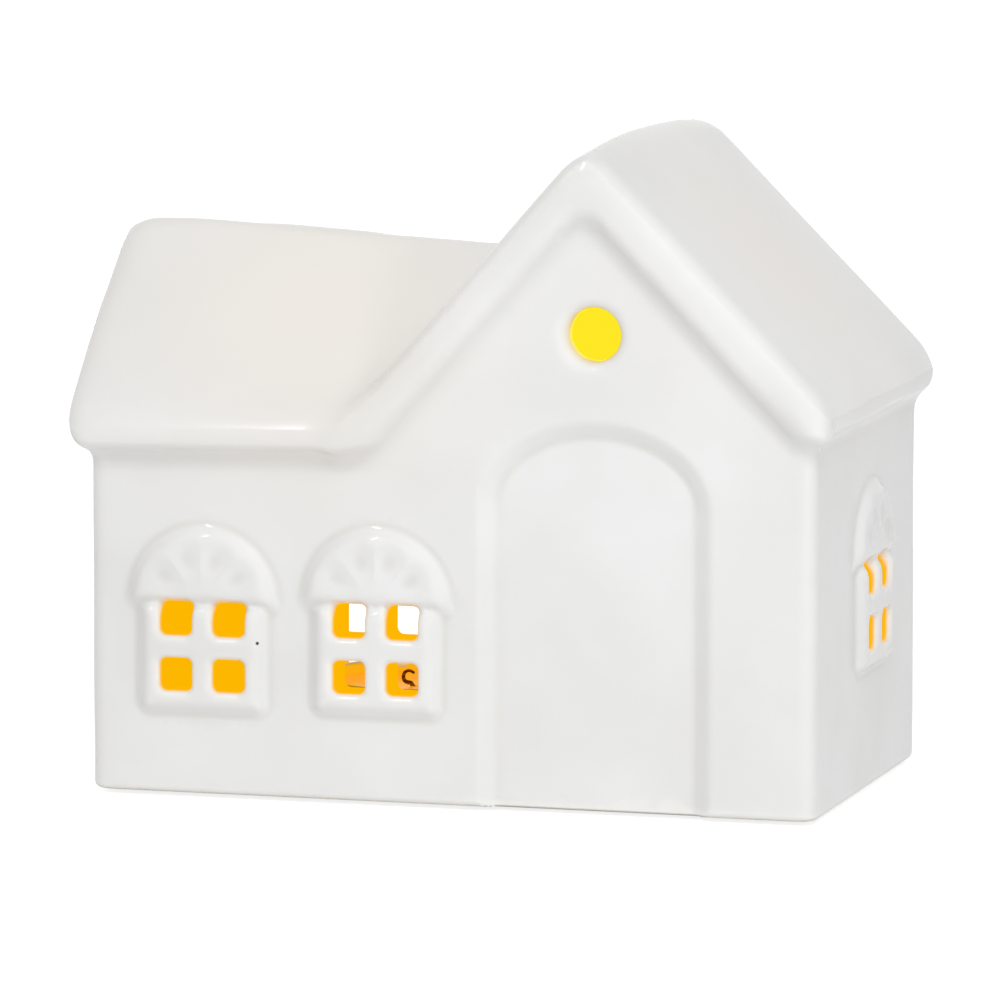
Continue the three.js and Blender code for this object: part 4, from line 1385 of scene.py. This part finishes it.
@dataclass
class FootPads:
    """Four felt discs glued into pockets under the floor. Sizes in mm."""

    middle_x: float = 0.8
    reach_x: float = 60.7
    reach_y: float = 30.0
    radius: float = 4.5
    thick: float = 1.6
    pads: dict[str, Object] = field(default_factory=dict, init=False)

    def build(self) -> None:
        """Turns each pad from a profile of a flat disc with a soft rim."""
        under = [(0.0, 0.0), (self.radius - 0.7, 0.0), (self.radius, 0.25)]
        over = [(self.radius, self.thick - 0.25), (self.radius - 0.5, self.thick), (0.0, self.thick)]
        profile = softened([*under, *over])
        for end, y in (("front", -self.reach_y), ("rear", self.reach_y)):
            for side, x in (("left", self.middle_x - self.reach_x), ("right", self.middle_x + self.reach_x)):
                self.pads[f"foot_pad_{end}_{side}"] = turned_object(
                    f"felt_pad_{end}_{side}", x, y, profile[:, :1], profile[:, 1:], full_turn(40)
                )

    def dress(self, felt: NeedleFelt) -> None:
        """Gives the pads their felt and sets them on the house body."""
        cloth = felt.material()
        for node, pad in self.pads.items():
            pad.data.materials.append(cloth)
            settle(pad, Body.HOUSE, Slot.FELT, node)


# Studio


def seen_share(tree: Tree, gloss: float) -> Socket:
    """How much of a white a ray sees: all of it from the camera or through glass, a share in a reflection.

    Args:
        tree: The nodes of the floor or the surround.
        gloss: The share in a reflection.

    Returns:
        The share, from 0 to 1.
    """
    path = add_node(tree, "LightPath", {}).node.outputs
    mirrored = add_node(tree, "Math", {0: path["Is Glossy Ray"], 1: gloss}, operation="MULTIPLY")
    direct = {0: path["Is Camera Ray"], 1: path["Is Transmission Ray"]}
    direct = add_node(tree, "Math", direct, operation="MAXIMUM")
    return add_node(tree, "Math", {0: direct, 1: mirrored}, operation="MAXIMUM")


@dataclass(frozen=True)
class WhitePaper(Finish):
    """White paper lit from its own side: pure white to the eye, with a soft grey left where the house shades it."""

    name: str = "white_paper_floor"
    white: str = "#F3F3F3"
    shade: float = 0.5
    lift: float = 0.81
    gloss: float = 0.6

    def paint(self, tree: Tree, place: Socket) -> Socket:
        """Adds the paper's nodes: what the eye sees is part light of its own and part shade.

        Args:
            tree: The material's nodes.
            place: Object coordinates, which plain paper doesn't need.

        Returns:
            The shader's output.
        """
        plain = add_node(tree, "BsdfDiffuse", {"Color": linear(self.white)})
        shaded = add_node(tree, "BsdfDiffuse", {"Color": (self.shade, self.shade, self.shade, 1.0)})
        lift = add_node(tree, "Emission", {"Color": WHITE, "Strength": self.lift})
        bright = add_node(tree, "AddShader", {0: shaded, 1: lift})
        return add_node(tree, "MixShader", {0: seen_share(tree, self.gloss), 1: plain, 2: bright})


@dataclass
class Softbox:
    """A rectangle of light, which gives shadows a soft edge. Places in metres, power in watts."""

    name: str
    place: tuple[float, float, float]
    aim: tuple[float, float, float]
    size: tuple[float, float]
    power: float
    colour: str = "#FFFFFF"
    glossy: bool = False

    def build(self) -> None:
        """Makes the lamp, points it, and says whether the glaze mirrors it."""
        lamp = bpy.data.lights.new(self.name, "AREA")
        lamp.shape = "RECTANGLE"
        lamp.size, lamp.size_y = self.size
        lamp.energy = self.power
        lamp.color = linear(self.colour)[:3]
        made = bpy.data.objects.new(self.name, lamp)
        bpy.context.scene.collection.objects.link(made)
        made.location = self.place
        made.visible_glossy = self.glossy
        made.rotation_mode = "QUATERNION"
        made.rotation_quaternion = (Vector(self.aim) - Vector(self.place)).to_track_quat("-Z", "Y")


@dataclass
class Studio:
    """A white floor without an end, a white surround, soft lamps and the camera."""

    azimuth: float = 16.05
    elevation: float = 7.81
    distance: float = 1.766
    target: tuple[float, float, float] = (0.0004, -0.00338, 0.05377)
    lens: float = 333.5
    surround: float = 0.475
    surround_tint: str = "#FBFCFF"
    floor_reach: float = 6000.0
    floor_rows: int = 9
    boxes: tuple[Softbox, ...] = (
        Softbox("key_softbox", (0.42, -0.63, 0.75), (0.0, 0.0, 0.06), (0.4, 0.4), 2.95),
        Softbox("low_softbox", (0.34, -0.5, 0.04), (0.0, -0.02, 0.03), (0.16, 0.06), 0.48),
        Softbox("left_softbox", (-0.85, 0.1, 0.75), (0.0, 0.0, 0.09), (0.7, 0.5), 1.4, colour="#FFF6E8"),
        Softbox("spark_strip", (-0.404, -0.98, 1.05), (-0.04, 0.0, 0.06), (0.045, 0.42), 1.55, glossy=True),
    )

    def build(self) -> None:
        """Builds floor, surround, lamps and camera."""
        bpy.context.scene.view_settings.view_transform = "Standard"
        self._build_floor()
        self._build_surround()
        for box in self.boxes:
            box.build()
        self._build_camera()

    def _build_floor(self) -> None:
        """A square grid of floor, level at the height of the table."""
        edge = np.linspace(-self.floor_reach, self.floor_reach, self.floor_rows)
        x, y = np.meshgrid(edge, edge, indexing="xy")
        points = np.stack([x.ravel(), y.ravel(), np.zeros(x.size)], axis=1)
        floor = mesh_object("studio_floor", points, sheet_faces(len(edge), len(edge), False))
        floor.data.materials.append(WhitePaper().material())

    def _build_surround(self) -> None:
        """A surround that is white to the eye and a softer white as light."""
        world = bpy.data.worlds.new("white_surround")
        bpy.context.scene.world = world
        world.use_nodes = True
        tree = world.node_tree
        tree.nodes.clear()
        light = add_node(tree, "Background", {"Color": linear(self.surround_tint), "Strength": self.surround})
        white = add_node(tree, "Background", {"Color": WHITE, "Strength": 1.0})
        mixed = add_node(tree, "MixShader", {0: seen_share(tree, 1.0), 1: light, 2: white})
        add_node(tree, "OutputWorld", {"Surface": mixed})

    def _build_camera(self) -> None:
        """A long lens at the photograph's azimuth and elevation, level, looking at the middle of the house."""
        a, e = math.radians(self.azimuth), math.radians(self.elevation)
        ahead = Vector((-math.sin(a) * math.cos(e), math.cos(a) * math.cos(e), -math.sin(e)))
        right = Vector((math.cos(a), math.sin(a), 0.0))
        data = bpy.data.cameras.new("camera")
        data.sensor_width = 36.0
        data.lens = self.lens
        data.clip_start, data.clip_end = 0.05, 50.0
        made = bpy.data.objects.new("camera", data)
        bpy.context.scene.collection.objects.link(made)
        turn = Matrix((right, right.cross(ahead), -ahead)).transposed().to_4x4()
        made.matrix_world = Matrix.Translation(Vector(self.target) - ahead * self.distance) @ turn
        bpy.context.scene.camera = made


def main() -> None:
    """Builds the studio and each sub-assembly in order."""
    logging.basicConfig(level=logging.INFO, format="%(name)s %(message)s")
    Studio().build()
    house = HouseShell()
    house.build()
    house.dress(
        WhiteGlaze(
            lit=True,
            # painted warm light on the wing's front slope and the gable's right slope
            painted_warm_light_mm=((-30.0, -22.0, 92.0, 60.0), (52.0, 0.0, 101.0, 55.0)),
            specks_mm=((-36.1, -41.7, 30.3, 0.45),),
        )
    )
    dish = OilDish()
    dish.build()
    dish.dress(WhiteGlaze(name="white_gloss_glaze_on_dish"))
    candle = TeaLight()
    candle.build()
    candle.dress(PressedAluminium())
    pads = FootPads()
    pads.build()
    pads.dress(NeedleFelt())


if __name__ == "__main__":
    main()
